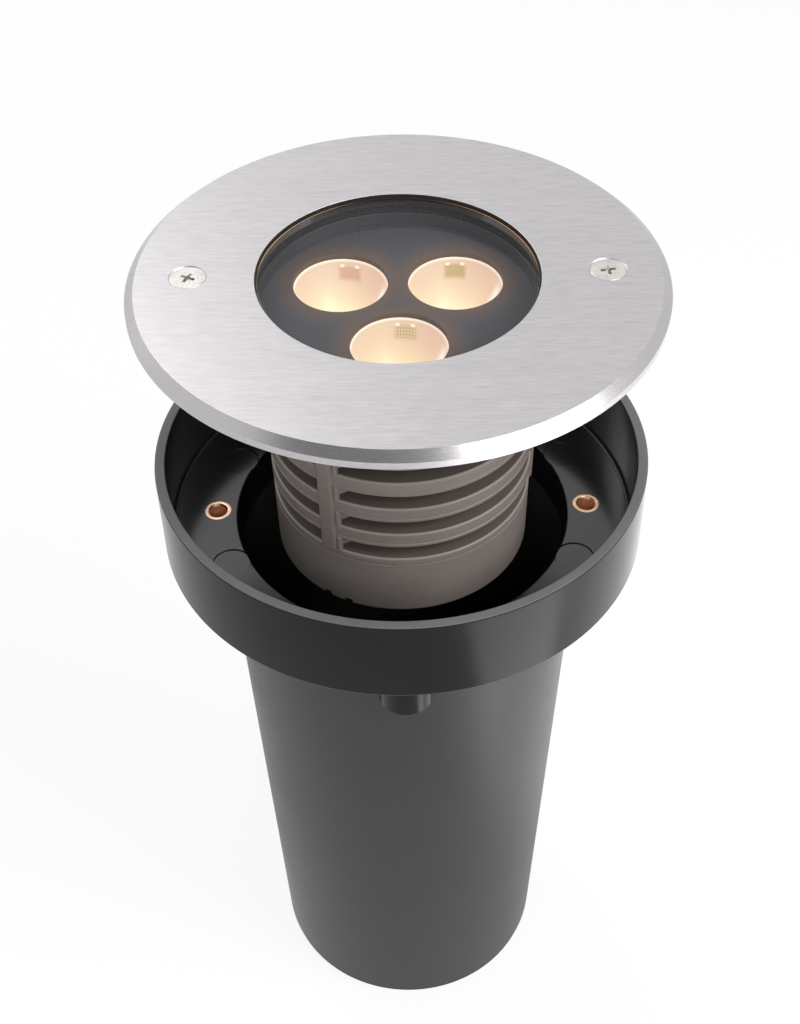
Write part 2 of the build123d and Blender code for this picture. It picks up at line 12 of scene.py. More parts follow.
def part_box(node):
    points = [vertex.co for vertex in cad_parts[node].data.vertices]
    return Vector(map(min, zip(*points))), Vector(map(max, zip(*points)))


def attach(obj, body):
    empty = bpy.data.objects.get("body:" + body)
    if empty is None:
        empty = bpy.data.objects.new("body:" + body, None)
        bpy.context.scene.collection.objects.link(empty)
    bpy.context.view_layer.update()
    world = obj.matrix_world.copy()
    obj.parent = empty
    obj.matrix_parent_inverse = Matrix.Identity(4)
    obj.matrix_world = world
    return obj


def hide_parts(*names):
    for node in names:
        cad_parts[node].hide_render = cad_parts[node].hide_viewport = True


bl_info = {
    "name": "In ground well light",
    "version": (1, 0, 0),
    "blender": (4, 5, 0),
    "location": "3D View > Sidebar > Well Light",
    "description": "Models and finishes a round in ground light that lifts out of its pot",
    "category": "Object",
}

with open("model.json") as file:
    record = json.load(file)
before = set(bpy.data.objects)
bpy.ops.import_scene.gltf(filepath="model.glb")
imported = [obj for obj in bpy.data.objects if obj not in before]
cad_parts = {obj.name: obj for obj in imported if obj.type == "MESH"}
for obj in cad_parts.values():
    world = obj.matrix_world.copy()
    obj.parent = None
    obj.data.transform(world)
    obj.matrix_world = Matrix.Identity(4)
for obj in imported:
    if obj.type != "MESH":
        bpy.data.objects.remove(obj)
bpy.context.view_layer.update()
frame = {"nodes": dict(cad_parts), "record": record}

MM = 0.001
FLOOR_WHITE = 0.86  # share of plain white in the floor; the rest shows the object's shadow

# ---- where the CAD pieces are ----
bezel_low, bezel_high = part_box("bezel_ring")
glass_low, glass_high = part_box("front_glass")
trim_low, trim_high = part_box("trim_ring")
plate_low, plate_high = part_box("lens_plate")
optic_boxes = {side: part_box("optic_" + side) for side in ("left", "right", "front")}
housing_low, housing_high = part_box("heatsink_housing")
cover_low, cover_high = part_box("rear_cover")
collar_low, collar_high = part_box("pot_collar")
barrel_low, barrel_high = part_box("pot_barrel")
insert_low, insert_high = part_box("insert_right")
screw_low, screw_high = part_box("screw_right")
screw_circle = (screw_low.x + screw_high.x) / 2
insert_circle = (insert_low.x + insert_high.x) / 2
seam_height = housing_low.z
barrel_top = barrel_high.z
ledge_top = insert_high.z
boss_foot = collar_low.z
optic_places = {side: (low + high) / 2 for side, (low, high) in optic_boxes.items()}


def length(name, default, description):
    """Length that a user may change."""
    return FloatProperty(name=name, description=description, default=default, min=0.0, precision=5, unit="LENGTH")


def colour(name, default, description):
    """Colour that a user may change."""
    return FloatVectorProperty(
        name=name, description=description, default=default, size=3, min=0.0, max=1.0, subtype="COLOR")


class BezelSizes(PropertyGroup):
    """Sizes of the steel ring and its two screws."""

    opening_radius: length("Opening radius", 31.5 * MM, "Radius of the light opening")
    chamfer_width: length("Chamfer width", 2.05 * MM, "Width of the outer bevel, seen from above")
    chamfer_height: length("Chamfer height", 1.8 * MM, "Height of the outer bevel")
    edge_round: length("Edge round", 0.12 * MM, "Radius of the ground edges")
    opening_round: length("Opening round", 0.12 * MM, "Radius of the opening's upper edge")
    sink_radius: length("Countersink radius", 4.25 * MM, "Radius of the screw countersinks at the face")
    hole_radius: length("Screw hole radius", 2.08 * MM, "Radius of the screw holes")
    head_radius: length("Head radius", 4.0 * MM, "Radius of a screw head")
    thread_radius: length("Thread radius", 2.0 * MM, "Outer radius of the screw thread")
    thread_pitch: length("Thread pitch", 0.7 * MM, "Rise of the screw thread in one turn")
    cross_span: length("Cross span", 4.4 * MM, "Length across the cross recess")
    cross_width: length("Cross width", 0.95 * MM, "Width of one arm of the cross recess")
    cross_depth: length("Cross depth", 1.7 * MM, "Depth of the cross recess")


class OpticSizes(PropertyGroup):
    """Sizes of the glass, the lens plate and the optics."""

    glass_step_radius: length("Glass step radius", 31.3 * MM, "Radius of the glass where it fills the opening")
    glass_round: length("Glass round", 0.35 * MM, "Radius of the glass's upper edge")
    mouth_radius: length("Mouth radius", 10.6 * MM, "Inner radius of an optic at its rim")
    wall: length("Optic wall", 0.8 * MM, "Wall of an optic")
    foot_bore: length("Foot bore", 3.0 * MM, "Radius of the hole in an optic's foot")
    trim_top_wall: length("Trim top wall", 0.4 * MM, "Wall of the trim ring at its top")
    trim_foot_wall: length("Trim foot wall", 0.8 * MM, "Wall of the trim ring at its foot")


class HousingSizes(PropertyGroup):
    """Sizes of the die-cast housing and its rear cover."""

    draft: FloatProperty(name="Draft", description="Draft of the housing", default=radians(1.2), subtype="ANGLE")
    foot_radius: length("Foot radius", 31.2 * MM, "Outer radius at the seam")
    core_radius: length("Core radius", 24.5 * MM, "Radius at the root of the slots")
    slot_height: length("Slot height", 3.9 * MM, "Height of a cooling slot")
    slot_pitch: length("Slot pitch", 8.1 * MM, "Distance between two slots")
    top_roof: length("Top slot", 212.2 * MM, "Height of the roof of the uppermost slot")
    slot_count: IntProperty(name="Slots", description="Rows of cooling slots", default=4, min=1, max=6)
    column_width: length("Column width", 4.2 * MM, "Width of an upright column")
    column_proud: length("Column relief", 0.55 * MM, "How far a column stands out of the fins")
    column_round: length("Column round", 0.8 * MM, "Radius of the columns' edges")
    bead_width: length("Bead width", 0.4 * MM, "Width of the closed strip beside a column")
    bead_round: length("Bead round", 0.7 * MM, "Radius of the bead at the start of a slot")
    slot_wall: length("Slot wall", 0.35 * MM, "Width of the walls at both ends of a slot")
    ramp_length: length("Ramp length", 3.4 * MM, "Length of the taper at the start of a slot")
    ramp_height: length("Ramp height", 3.3 * MM, "Height of the taper at the start of a slot")
    ramp_depth: length("Ramp depth", 0.5 * MM, "How far the taper's deep end lies behind the fins")
    seam_gap: length("Seam gap", 0.35 * MM, "Height of the fine groove above the rear cover")
    seam_depth: length("Seam depth", 0.6 * MM, "Depth of the fine groove above the rear cover")
    first_column: FloatProperty(
        name="First column", description="Direction of the front column", default=radians(236.8), subtype="ANGLE")


class PotSizes(PropertyGroup):
    """Sizes of the pot's collar and barrel."""

    collar_wall: length("Collar wall", 2.5 * MM, "Wall of the collar")
    rim_round: length("Rim round", 0.4 * MM, "Radius of the rim's edges")
    ledge_hole: length("Ledge hole", 41.2 * MM, "Radius of the round mouth in the ledge")
    ledge_corner: length("Ledge corner", 0.8 * MM, "Fillet between the ledge and the wall")
    barrel_wall: length("Barrel wall", 2.4 * MM, "Wall of the barrel")
    boss_radius: length("Boss radius", 6.5 * MM, "Radius of the screw bosses")
    mark_radius: length("Mark radius", 4.6 * MM, "Radius of the round marks in the ledge")
    mark_inset: length("Mark inset", 0.7 * MM, "How much nearer to the axis than the inserts the marks lie")
    mark_depth: length("Mark depth", 0.3 * MM, "Depth of the round marks")
    insert_bore: length("Insert bore", 2.08 * MM, "Radius of an insert's bore")
    insert_radius: length("Insert radius", 3.4 * MM, "Outer radius of an insert")
    insert_mouth: length("Insert mouth", 2.5 * MM, "Radius of an insert's chamfer at the top")
    mark_swing: FloatProperty(
        name="Mark swing", description="Angle between an insert and a mark", default=radians(24), subtype="ANGLE")


class FinishColours(PropertyGroup):
    """Colours of the finishes."""

    steel: colour("Steel", (0.505, 0.490, 0.503), "Brushed stainless steel")
    housing: colour("Housing", (0.225, 0.195, 0.178), "Warm grey-brown paint")
    # The slot colour is painted shade: a darker paint that stands in for the shade inside the cooling slots.
    slot: colour("Slot", (0.095, 0.078, 0.068), "Darker paint inside the cooling slots as painted shade")
    black: colour("Collar plastic", (0.008, 0.008, 0.009), "Black moulded plastic")
    # Lighter grey of the collar's rim top and lower outer edge: partly a matt finish, partly painted light, with a
    # painted highlight line along the lower edge.
    rim: colour("Collar rim", (0.118, 0.118, 0.122), "Matt edge of the collar, partly painted light")
    grey: colour("Barrel plastic", (0.028, 0.0265, 0.025), "Dark grey moulded plastic")
    brass: colour("Brass", (0.92, 0.60, 0.42), "Turned brass of the inserts")
    anthracite: colour("Lens plate", (0.040, 0.040, 0.048), "Dull anthracite behind the glass")
    # Painted glow: warm brown that stands in for the optics' light on the plate beside them.
    painted_glow_plate: colour("Plate with painted glow", (0.085, 0.055, 0.042), "Lens plate beside the optics")


class StageSettings(PropertyGroup):
    """Camera and light."""

    distance: length("Camera distance", 399.3 * MM, "From the camera to its target")
    elevation: FloatProperty(
        name="Elevation", description="Camera's angle above level", default=radians(44.49), subtype="ANGLE")
    roll: FloatProperty(
        name="Roll", description="Camera's turn about its view", default=radians(-1.12), subtype="ANGLE")
    lens: FloatProperty(name="Lens", description="Focal length on a 36 mm frame", default=55.36)
    fill: FloatProperty(name="Fill light", description="Strength of the light from all round", default=0.50, min=0.0)


# ---------------------------------------------------------------- modelling by hand

def only(piece):
    """Selects one object and makes it active."""
    bpy.ops.object.select_all(action="DESELECT")
    piece.select_set(True)
    bpy.context.view_layer.objects.active = piece


def eased(corners):
    """Turns (radius, height, round) corners into profile points with rounded corners."""
    points = []
    count = len(corners)
    for index, corner in enumerate(corners):
        here = Vector(corner[:2])
        easing = corner[2] if len(corner) > 2 else 0
        if easing == 0:
            points.append(here)
            continue
        before = (Vector(corners[index - 1][:2]) - here).normalized()
        after = (Vector(corners[(index + 1) % count][:2]) - here).normalized()
        half = before.angle(after) / 2
        middle = here + (before + after).normalized() * easing / sin(half)
        start = here + before * easing / tan(half) - middle
        end = here + after * easing / tan(half) - middle
        sweep = start.angle(end)
        steps = max(2, round(sweep / radians(22)))
        for step in range(steps + 1):
            share = step / steps
            arm = (start * sin((1 - share) * sweep) + end * sin(share * sweep)) / sin(sweep)
            points.append(middle + arm)
    return points


def plane(name, size):
    """Square plane at the origin, alone selected."""
    bpy.ops.object.select_all(action="DESELECT")
    bpy.ops.mesh.primitive_plane_add(size=size, location=(0, 0, 0))
    piece = bpy.context.object
    piece.name = piece.data.name = name
    return piece


def traced(name, points, at=(0, 0)):
    """Draws a profile point by point and leaves it selected in edit mode."""
    piece = plane(name, MM)
    bpy.ops.object.mode_set(mode="EDIT")
    bpy.ops.mesh.merge(type="CENTER")
    bpy.ops.transform.translate(value=(at[0] + points[0].x, at[1], points[0].y))
    for here, there in zip(points, points[1:]):
        step = (there.x - here.x, 0, there.y - here.y)
        bpy.ops.mesh.extrude_region_move(TRANSFORM_OT_translate={"value": step})
    bpy.ops.mesh.select_all(action="SELECT")
    return piece


def turned(name, corners, closed=True, stops=None, steps=192, at=(0, 0)):
    """Spins a profile about an upright axis at a place."""
    points = eased(corners)
    if closed:
        points.append(points[0])
    piece = traced(name, points, at)
    centre = (at[0], at[1], 0)
    if stops is None:
        bpy.ops.mesh.spin(steps=steps, angle=2 * pi, center=centre, axis=(0, 0, 1))
    else:
        for here, there in zip(stops, stops[1:]):
            bpy.ops.mesh.spin(steps=1, angle=here - there, center=centre, axis=(0, 0, 1))
    outward(merge=0.002 * MM)
    return piece


def post(name, radius, low, high, steps=192, at=(0, 0), ease=0):
    """Upright cylinder between two heights; its lower edge may be eased."""
    corners = [(0, low), (radius, low, ease), (radius, high), (0, high)]
    return turned(name, corners, closed=False, steps=steps, at=at)


def block(name, low, high):
    """Upright block between two corners."""
    low, high = Vector(low), Vector(high)
    bpy.ops.object.select_all(action="DESELECT")
    bpy.ops.mesh.primitive_cube_add(size=1, location=(low + high) / 2)
    piece = bpy.context.object
    piece.name = piece.data.name = name
    piece.scale = high - low
    bpy.ops.object.transform_apply(location=True, rotation=True, scale=True)
    return piece


def spun_about(piece, angle, centre=(0, 0, 0)):
    """Turns a piece about an upright axis, in its mesh."""
    only(piece)
    piece.data.transform(Matrix.Translation(centre) @ Matrix.Rotation(angle, 4, "Z")
                         @ Matrix.Translation(-Vector(centre)))
    return piece


def around(reach, angle):
    """Place on a circle."""
    return (reach * cos(angle), reach * sin(angle))


def carve(piece, cutter, operation="DIFFERENCE"):
    """Cuts a piece with another solid, or joins them. The other solid is used up."""
    only(piece)
    cut = piece.modifiers.new("carve", "BOOLEAN")
    cut.operation = operation
    cut.solver = "EXACT"
    cut.object = cutter
    bpy.ops.object.modifier_apply(modifier=cut.name)
    bpy.data.objects.remove(cutter)
    return piece


def soften(piece, width, segments=2, angle=30):
    """Rounds a piece's sharp edges."""
    only(piece)
    bevel = piece.modifiers.new("soften", "BEVEL")
    bevel.width = width
    bevel.segments = segments
    bevel.limit_method = "ANGLE"
    bevel.angle_limit = radians(angle)
    bpy.ops.object.modifier_apply(modifier=bevel.name)
    return piece


def joined(piece, others):
    """Joins other pieces to one."""
    only(piece)
    for other in others:
        other.select_set(True)
    bpy.ops.object.join()
    return piece


def coordinates(piece):
    """All points of a piece, as rows of x, y, z."""
    points = np.empty(len(piece.data.vertices) * 3)
    piece.data.vertices.foreach_get("co", points)
    return points.reshape(-1, 3)


def pick(piece, chosen):
    """Opens a piece in edit mode with the chosen points selected."""
    bpy.ops.object.mode_set(mode="EDIT")
    bpy.ops.mesh.select_mode(type="VERT")
    bpy.ops.mesh.select_all(action="DESELECT")
    bpy.ops.object.mode_set(mode="OBJECT")
    piece.data.vertices.foreach_set("select", chosen)
    bpy.ops.object.mode_set(mode="EDIT")


def resized(piece, chosen, factors, centre=(0, 0, 0)):
    """Scales the chosen points of a piece about a centre."""
    pick(piece, chosen)
    bpy.ops.transform.resize(value=factors, center_override=centre)
    bpy.ops.object.mode_set(mode="OBJECT")


def outward(merge=0.0):
    """Turns the active piece's normals outward, and merges points that are closer than a distance."""
    bpy.ops.object.mode_set(mode="EDIT")
    bpy.ops.mesh.select_all(action="SELECT")
    if merge:
        bpy.ops.mesh.remove_doubles(threshold=merge)
    bpy.ops.mesh.normals_make_consistent(inside=False)
    bpy.ops.object.mode_set(mode="OBJECT")


def finished(piece, body, node, finish, angle=35):
    """Shades a piece, gives it its finish and lets it stand for its CAD node."""
    only(piece)
    bpy.ops.object.shade_smooth_by_angle(angle=radians(angle))
    even = piece.modifiers.new("even", "WEIGHTED_NORMAL")
    even.keep_sharp = True
    even.weight = 80
    bpy.ops.object.modifier_apply(modifier=even.name)
    piece.data.materials.clear()
    piece.data.materials.append(bpy.data.materials[finish])
    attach(piece, body)
    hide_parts(node)
    return piece


def second_finish(piece, finish, chosen):
    """Gives some faces of a piece another finish."""
    piece.data.materials.append(bpy.data.materials[finish])
    last = len(piece.data.materials) - 1
    for face in piece.data.polygons:
        if chosen(face):
            face.material_index = last


# ---------------------------------------------------------------- finishes

class Finish:
    """Material that is put together node by node."""

    def __init__(self, name, colour, roughness, metallic=0.0):
        self.material = bpy.data.materials.new(name)
        self.material.use_nodes = True
        self.nodes = self.material.node_tree.nodes
        self.links = self.material.node_tree.links
        self.shader = self.nodes["Principled BSDF"]
        self.set("Base Color", (*colour, 1))
        self.set("Roughness", roughness)
        self.set("Metallic", metallic)
        self.place = self.nodes.new("ShaderNodeTexCoord")

    def set(self, socket, value):
        """Sets one of the shader's own values."""
        self.shader.inputs[socket].default_value = value

    def feed(self, socket, output):
        """Links a pattern to the shader."""
        self.links.new(output, self.shader.inputs[socket])

    def mapped(self, scale, texture):
        """Lays a texture over the object; scale is in features per metre, along each axis if three are given."""
        mapping = self.nodes.new("ShaderNodeMapping")
        mapping.inputs["Scale"].default_value = scale if isinstance(scale, tuple) else (scale,) * 3
        texture.inputs["Scale"].default_value = 1.0
        self.links.new(self.place.outputs["Object"], mapping.inputs["Vector"])
        self.links.new(mapping.outputs["Vector"], texture.inputs["Vector"])

    def noise(self, scale, detail=3.0, roughness=0.5):
        """Noise over the object."""
        texture = self.nodes.new("ShaderNodeTexNoise")
        texture.inputs["Detail"].default_value = detail
        texture.inputs["Roughness"].default_value = roughness
        self.mapped(scale, texture)
        return texture.outputs["Fac"]

    def cells(self, scale, randomness=1.0):
        """Cell pattern over the object."""
        texture = self.nodes.new("ShaderNodeTexVoronoi")
        texture.inputs["Randomness"].default_value = randomness
        self.mapped(scale, texture)
        return texture.outputs["Distance"]

    def axis(self, name):
        """One coordinate of the object, in metres."""
        split = self.nodes.new("ShaderNodeSeparateXYZ")
        self.links.new(self.place.outputs["Object"], split.inputs["Vector"])
        return split.outputs[name]

    def spread(self, output, low, high, start=0.3, end=0.7):
        """Stretches a pattern between two values."""
        node = self.nodes.new("ShaderNodeMapRange")
        node.inputs["From Min"].default_value = start
        node.inputs["From Max"].default_value = end
        node.inputs["To Min"].default_value = low
        node.inputs["To Max"].default_value = high
        self.links.new(output, node.inputs["Value"])
        return node.outputs["Result"]

    def maths(self, operation, first, second):
        """One sum on two patterns or numbers."""
        node = self.nodes.new("ShaderNodeMath")
        node.operation = operation
        for socket, value in zip(node.inputs, (first, second)):
            if isinstance(value, (int, float)):
                socket.default_value = value
            else:
                self.links.new(value, socket)
        return node.outputs["Value"]

    def mix(self, kind, factor, first, second):
        """Puts two colours together; each value is a pattern, a colour or a number."""
        node = self.nodes.new("ShaderNodeMix")
        node.data_type = "RGBA"
        node.blend_type = kind
        for socket, value in ((node.inputs["Factor"], factor), (node.inputs[6], first), (node.inputs[7], second)):
            if isinstance(value, tuple):
                socket.default_value = (*value, 1)
            elif isinstance(value, float):
                socket.default_value = value
            else:
                self.links.new(value, socket)
        return node.outputs[2]

    def blend(self, factor, first, second):
        """Mixes two colours by a pattern."""
        return self.mix("MIX", factor, first, second)

    def tinted(self, first, second):
        """One colour times another."""
        return self.mix("MULTIPLY", 1.0, first, second)

    def clouded(self, pattern, colour, low, high):
        """Colours the surface between a darker and a lighter shade by a pattern."""
        self.feed("Base Color", self.blend(
            self.spread(pattern, 0, 1), shaded(colour, low), shaded(colour, high)))

    def apart(self, output, middle):
        """How far a value lies from a middle value."""
        return self.maths("ABSOLUTE", self.maths("SUBTRACT", output, middle), 0)

    def ramp(self, output, stops):
        """Colours along a value; stops are (position, colour)."""
        node = self.nodes.new("ShaderNodeValToRGB")
        elements = node.color_ramp.elements
        while len(elements) < len(stops):
            elements.new(0.5)
        for element, (position, value) in zip(elements, stops):
            element.position = position
            element.color = (*value, 1)
        self.links.new(output, node.inputs["Fac"])
        return node.outputs["Color"]

    def bump(self, height, strength, distance):
        """Roughens the surface by a pattern; distance is in metres."""
        node = self.nodes.new("ShaderNodeBump")
        node.inputs["Strength"].default_value = strength
        node.inputs["Distance"].default_value = distance
        self.links.new(height, node.inputs["Height"])
        self.links.new(node.outputs["Normal"], self.shader.inputs["Normal"])


def shaded(colour, factor):
    """Colour made darker or lighter."""
    return tuple(min(1.0, part * factor) for part in colour)


def brushed_steel(name, colour, roughness, contrast):
    """Stainless steel with straight brushing along X."""
    finish = Finish(name, colour, roughness, 1.0)
    hairs = finish.noise((210, 3400, 3400), detail=2, roughness=0.6)
    bands = finish.noise((30, 900, 900), detail=3)
    grain = finish.maths("ADD", finish.maths("MULTIPLY", hairs, 0.80), finish.maths("MULTIPLY", bands, 0.20))
    finish.feed("Base Color", finish.blend(
        finish.spread(grain, 0, 1, 0.34, 0.66), shaded(colour, 1 - contrast), shaded(colour, 1 + contrast)))
    finish.feed("Roughness", finish.spread(grain, roughness - 0.3 * contrast, roughness + 0.3 * contrast))
    finish.bump(hairs, 0.5 * contrast, 0.02 * MM)


def turned_steel(name, colour, roughness):
    """Plain bright steel of screws, studs and nuts."""
    finish = Finish(name, colour, roughness, 1.0)
    specks = finish.noise(2200, detail=4)
    finish.feed("Roughness", finish.spread(specks, roughness - 0.06, roughness + 0.08))
    finish.clouded(finish.noise(500), colour, 0.88, 1.08)
    finish.bump(specks, 0.08, 0.02 * MM)


def housing_paint(name, colour):
    """Warm grey-brown satin powder coat with a fine orange peel."""
    finish = Finish(name, colour, 0.42)
    finish.set("Specular IOR Level", 0.35)
    peel = finish.noise(1500, detail=3)
    cloud = finish.noise(60, detail=4)
    finish.clouded(cloud, colour, 0.92, 1.08)
    finish.feed("Roughness", finish.spread(peel, 0.38, 0.48))
    finish.bump(peel, 0.12, 0.05 * MM)


def moulded_plastic(name, colour, low, high, cloud_scale=35, peel=0.10, sheen=0.5):
    """Moulded plastic with slightly uneven gloss."""
    finish = Finish(name, colour, (low + high) / 2)
    finish.set("Specular IOR Level", sheen)
    cloud = finish.noise(cloud_scale, detail=5, roughness=0.6)
    grain = finish.noise(1800, detail=4)
    finish.clouded(cloud, colour, 0.85, 1.15)
    finish.feed("Roughness", finish.spread(
        finish.maths("ADD", finish.maths("MULTIPLY", cloud, 0.6), finish.maths("MULTIPLY", grain, 0.4)), low, high))
    finish.bump(grain, peel, 0.05 * MM)
    return finish


def rubber(name, colour):
    """Matt rubber or silicone."""
    finish = Finish(name, colour, 0.62)
    grain = finish.noise(1400, detail=4)
    finish.feed("Roughness", finish.spread(grain, 0.55, 0.72))
    finish.clouded(finish.noise(90), colour, 0.85, 1.2)
    finish.bump(grain, 0.15, 0.05 * MM)


def insert_brass(colours):
    """Turned brass with a coppery tone and fine tool rings."""
    finish = Finish("Turned brass", colours.brass, 0.30, 1.0)
    tarnish = finish.noise(420, detail=4)
    finish.clouded(tarnish, colours.brass, 0.75, 1.12)
    finish.feed("Roughness", finish.spread(finish.noise(2400), 0.22, 0.40))


def insert_bore():
    """Reddish copper tone in the bores of the inserts, lighter and less metallic so that the bores look lit: partly
    the threads' own tone, partly painted light.
    """
    finish = Finish("Copper bore with painted light", (0.75, 0.32, 0.16), 0.45, 0.3)
    finish.feed("Base Color", finish.blend(
        finish.spread(finish.noise(900), 0, 1), (0.62, 0.25, 0.12), (0.90, 0.42, 0.22)))


def window_glass():
    """Clear coated glass that mirrors little."""
    finish = Finish("Clear glass", (1.0, 1.0, 1.0), 0.0)
    finish.set("Transmission Weight", 1.0)
    finish.set("IOR", 1.2)


def glass_edge():
    """Ground edge of the glass with a painted warm glow at the back on both sides, standing in for the light that
    comes out there.
    """
    finish = Finish("Glass edge with painted glow", (0.05, 0.045, 0.04), 0.35)
    across = finish.axis("X")
    back = finish.spread(finish.axis("Y"), 0, 1, 2 * MM, 12 * MM)
    aside = finish.spread(finish.maths("ABSOLUTE", across, 0), 0, 1, 8 * MM, 17 * MM)
    # Painted glow: amber at the back left, redder at the back right, and a dim painted glow elsewhere.
    warm = finish.blend(finish.spread(across, 0, 1, -MM, MM), (0.70, 0.50, 0.26), (0.66, 0.32, 0.18))
    finish.feed("Emission Color", finish.blend(finish.maths("MULTIPLY", back, aside), (0.035, 0.022, 0.016), warm))
    finish.set("Emission Strength", 1.0)


def lens_plate_finish(colours):
    """Dull anthracite with a painted warm brown glow beside the optics, standing in for their light on the plate."""
    finish = moulded_plastic("Anthracite with painted glow", colours.anthracite, 0.49, 0.52, peel=0.0, sheen=0.2)
    near = None
    for place in optic_places.values():
        apart = finish.nodes.new("ShaderNodeVectorMath")
        apart.operation = "DISTANCE"
        apart.inputs[1].default_value = (place.x, place.y, plate_high.z)
        finish.links.new(finish.place.outputs["Object"], apart.inputs[0])
        far = apart.outputs["Value"]
        near = far if near is None else finish.maths("MINIMUM", near, far)
    # Painted glow, full up to 11.2 mm from an optic's axis and gone at 16 mm.
    warm = finish.spread(near, 1, 0, 11.2 * MM, 16.0 * MM)
    finish.feed("Base Color", finish.blend(warm, tuple(colours.anthracite), tuple(colours.painted_glow_plate)))


def optic_cream(side, painted_reflection_at, painted_reflection_colour, dotted):
    """Cream reflector with its light painted as a glow: brightest low down, a painted highlight at the rim, a painted
    streak highlight, a painted reflection of the light source with two painted glints, and a painted pinkish tint
    towards +X.
    """
    low, high = optic_boxes[side]
    place = optic_places[side]
    finish = Finish("Reflector with painted glow " + side, (0.10, 0.08, 0.05), 0.44)
    level = finish.axis("Z")
    across = finish.maths("SUBTRACT", finish.axis("X"), place.x)
    away = finish.maths("SUBTRACT", finish.axis("Y"), place.y)
    height = finish.spread(level, 0, 1, low.z, high.z)
    # Painted glow: brightest low down, dimmer up the walls and bright again at the rim as a painted highlight.
    glow = finish.ramp(height, [
        (0.0, (1.0, 0.96, 0.66)), (0.06, (1.0, 0.92, 0.60)), (0.25, (0.94, 0.76, 0.50)),
        (0.55, (0.84, 0.63, 0.45)), (0.94, (0.78, 0.58, 0.43)), (0.98, (1.0, 0.93, 0.78))])
    # Painted tint of the light: whiter towards -X, pinkish towards +X.
    painted_side_tint = finish.blend(finish.spread(across, 0, 1, -3 * MM, 8 * MM), (1.05, 1.03, 1.0), (0.97, 0.86, 0.86))
    glow = finish.tinted(glow, painted_side_tint)
    # Painted streak highlight on the wall, partway up its height.
    swing = finish.maths("ARCTAN2", away, across)
    painted_streak = finish.spread(finish.apart(swing, radians(4)), 1, 0, radians(3), radians(15))
    painted_streak = finish.maths("MULTIPLY", painted_streak, finish.spread(height, 0, 1, 0.12, 0.40))
    painted_streak = finish.maths("MULTIPLY", painted_streak, finish.spread(height, 0.75, 0, 0.70, 0.95))
    glow = finish.blend(painted_streak, glow, (1.0, 0.97, 0.92))
    # Painted reflection of the light source in the back half, dotted for the front optic.
    back_half = finish.spread(away, 0, 1, 0, MM)
    aside = finish.apart(across, painted_reflection_at)
    painted_reflection = finish.spread(aside, 1, 0, 1.9 * MM, 2.9 * MM)
    for start, end in ((5.4 * MM, 6.4 * MM), (9.0 * MM, 8.4 * MM)):
        painted_reflection = finish.maths("MULTIPLY", painted_reflection, finish.spread(level, 0, 1, low.z + start, low.z + end))
    painted_reflection = finish.maths("MULTIPLY", painted_reflection, back_half)
    if dotted:
        dots = finish.cells((1500, 0, 1500), randomness=0.0)
        painted_reflection = finish.maths("MULTIPLY", painted_reflection, finish.spread(dots, 0.15, 1, 0.2, 0.5))
    glow = finish.blend(painted_reflection, glow, painted_reflection_colour)
    # Two painted glints at the top of the painted reflection.
    glint_aside, glint_height = 1.7 * MM, low.z + 8.8 * MM
    painted_glint = finish.spread(finish.apart(aside, glint_aside), 1, 0, 0.2 * MM, 0.6 * MM)
    beside = finish.spread(finish.apart(level, glint_height), 1, 0, 0.1 * MM, 0.4 * MM)
    painted_glint = finish.maths("MULTIPLY", finish.maths("MULTIPLY", painted_glint, beside), back_half)
    glow = finish.blend(painted_glint, glow, (1.15, 1.08, 0.95))
    finish.feed("Emission Color", glow)
    finish.set("Emission Strength", 0.88)
    finish.bump(finish.cells(900), 0.08, 0.1 * MM)


def lit_source():
    """Light source with warm phosphor."""
    finish = Finish("Lit light source", (0.5, 0.42, 0.25), 0.5)
    dots = finish.cells(1700)
    finish.feed("Emission Color", finish.ramp(dots, [(0.2, (1.0, 0.95, 0.66)), (0.8, (1.0, 0.88, 0.52))]))
    finish.set("Emission Strength", 1.2)


def board(name, colour):
    """Circuit board with solder mask over its tracks."""
    finish = Finish(name, colour, 0.35)
    tracks = finish.cells(450)
    finish.feed("Base Color", finish.blend(
        finish.spread(tracks, 0, 1, 0.35, 0.45), shaded(colour, 0.86), shaded(colour, 1.05)))
    finish.bump(tracks, 0.10, 0.05 * MM)


SLOT_FINISHES = {
    "pot_black": "Black moulded plastic",
    "pot_grey": "Dark grey moulded plastic",
    "rubber_black": "Black rubber",
    "insert_brass": "Turned brass",
    "brushed_bezel": "Brushed stainless steel",
    "fastener_steel": "Plain stainless steel",
    "screw_steel": "Bright screw steel",
    "silicone_black": "Black silicone",
    "clear_glass": "Clear glass",
    "anthracite": "Dull anthracite",
    "warm_optic": "Reflector with painted glow left",
    "warm_led": "Lit light source",
    "board_white": "White circuit board",
    "pad_grey": "Grey thermal pad",
    "lead_insulation": "Red lead insulation",
    "housing_paint": "Satin housing paint",
    "board_green": "Green circuit board",
    "component_dark": "Dark components",
    "terminal_white": "White terminal plastic",
    "gland_plastic": "Black polyamide",
}


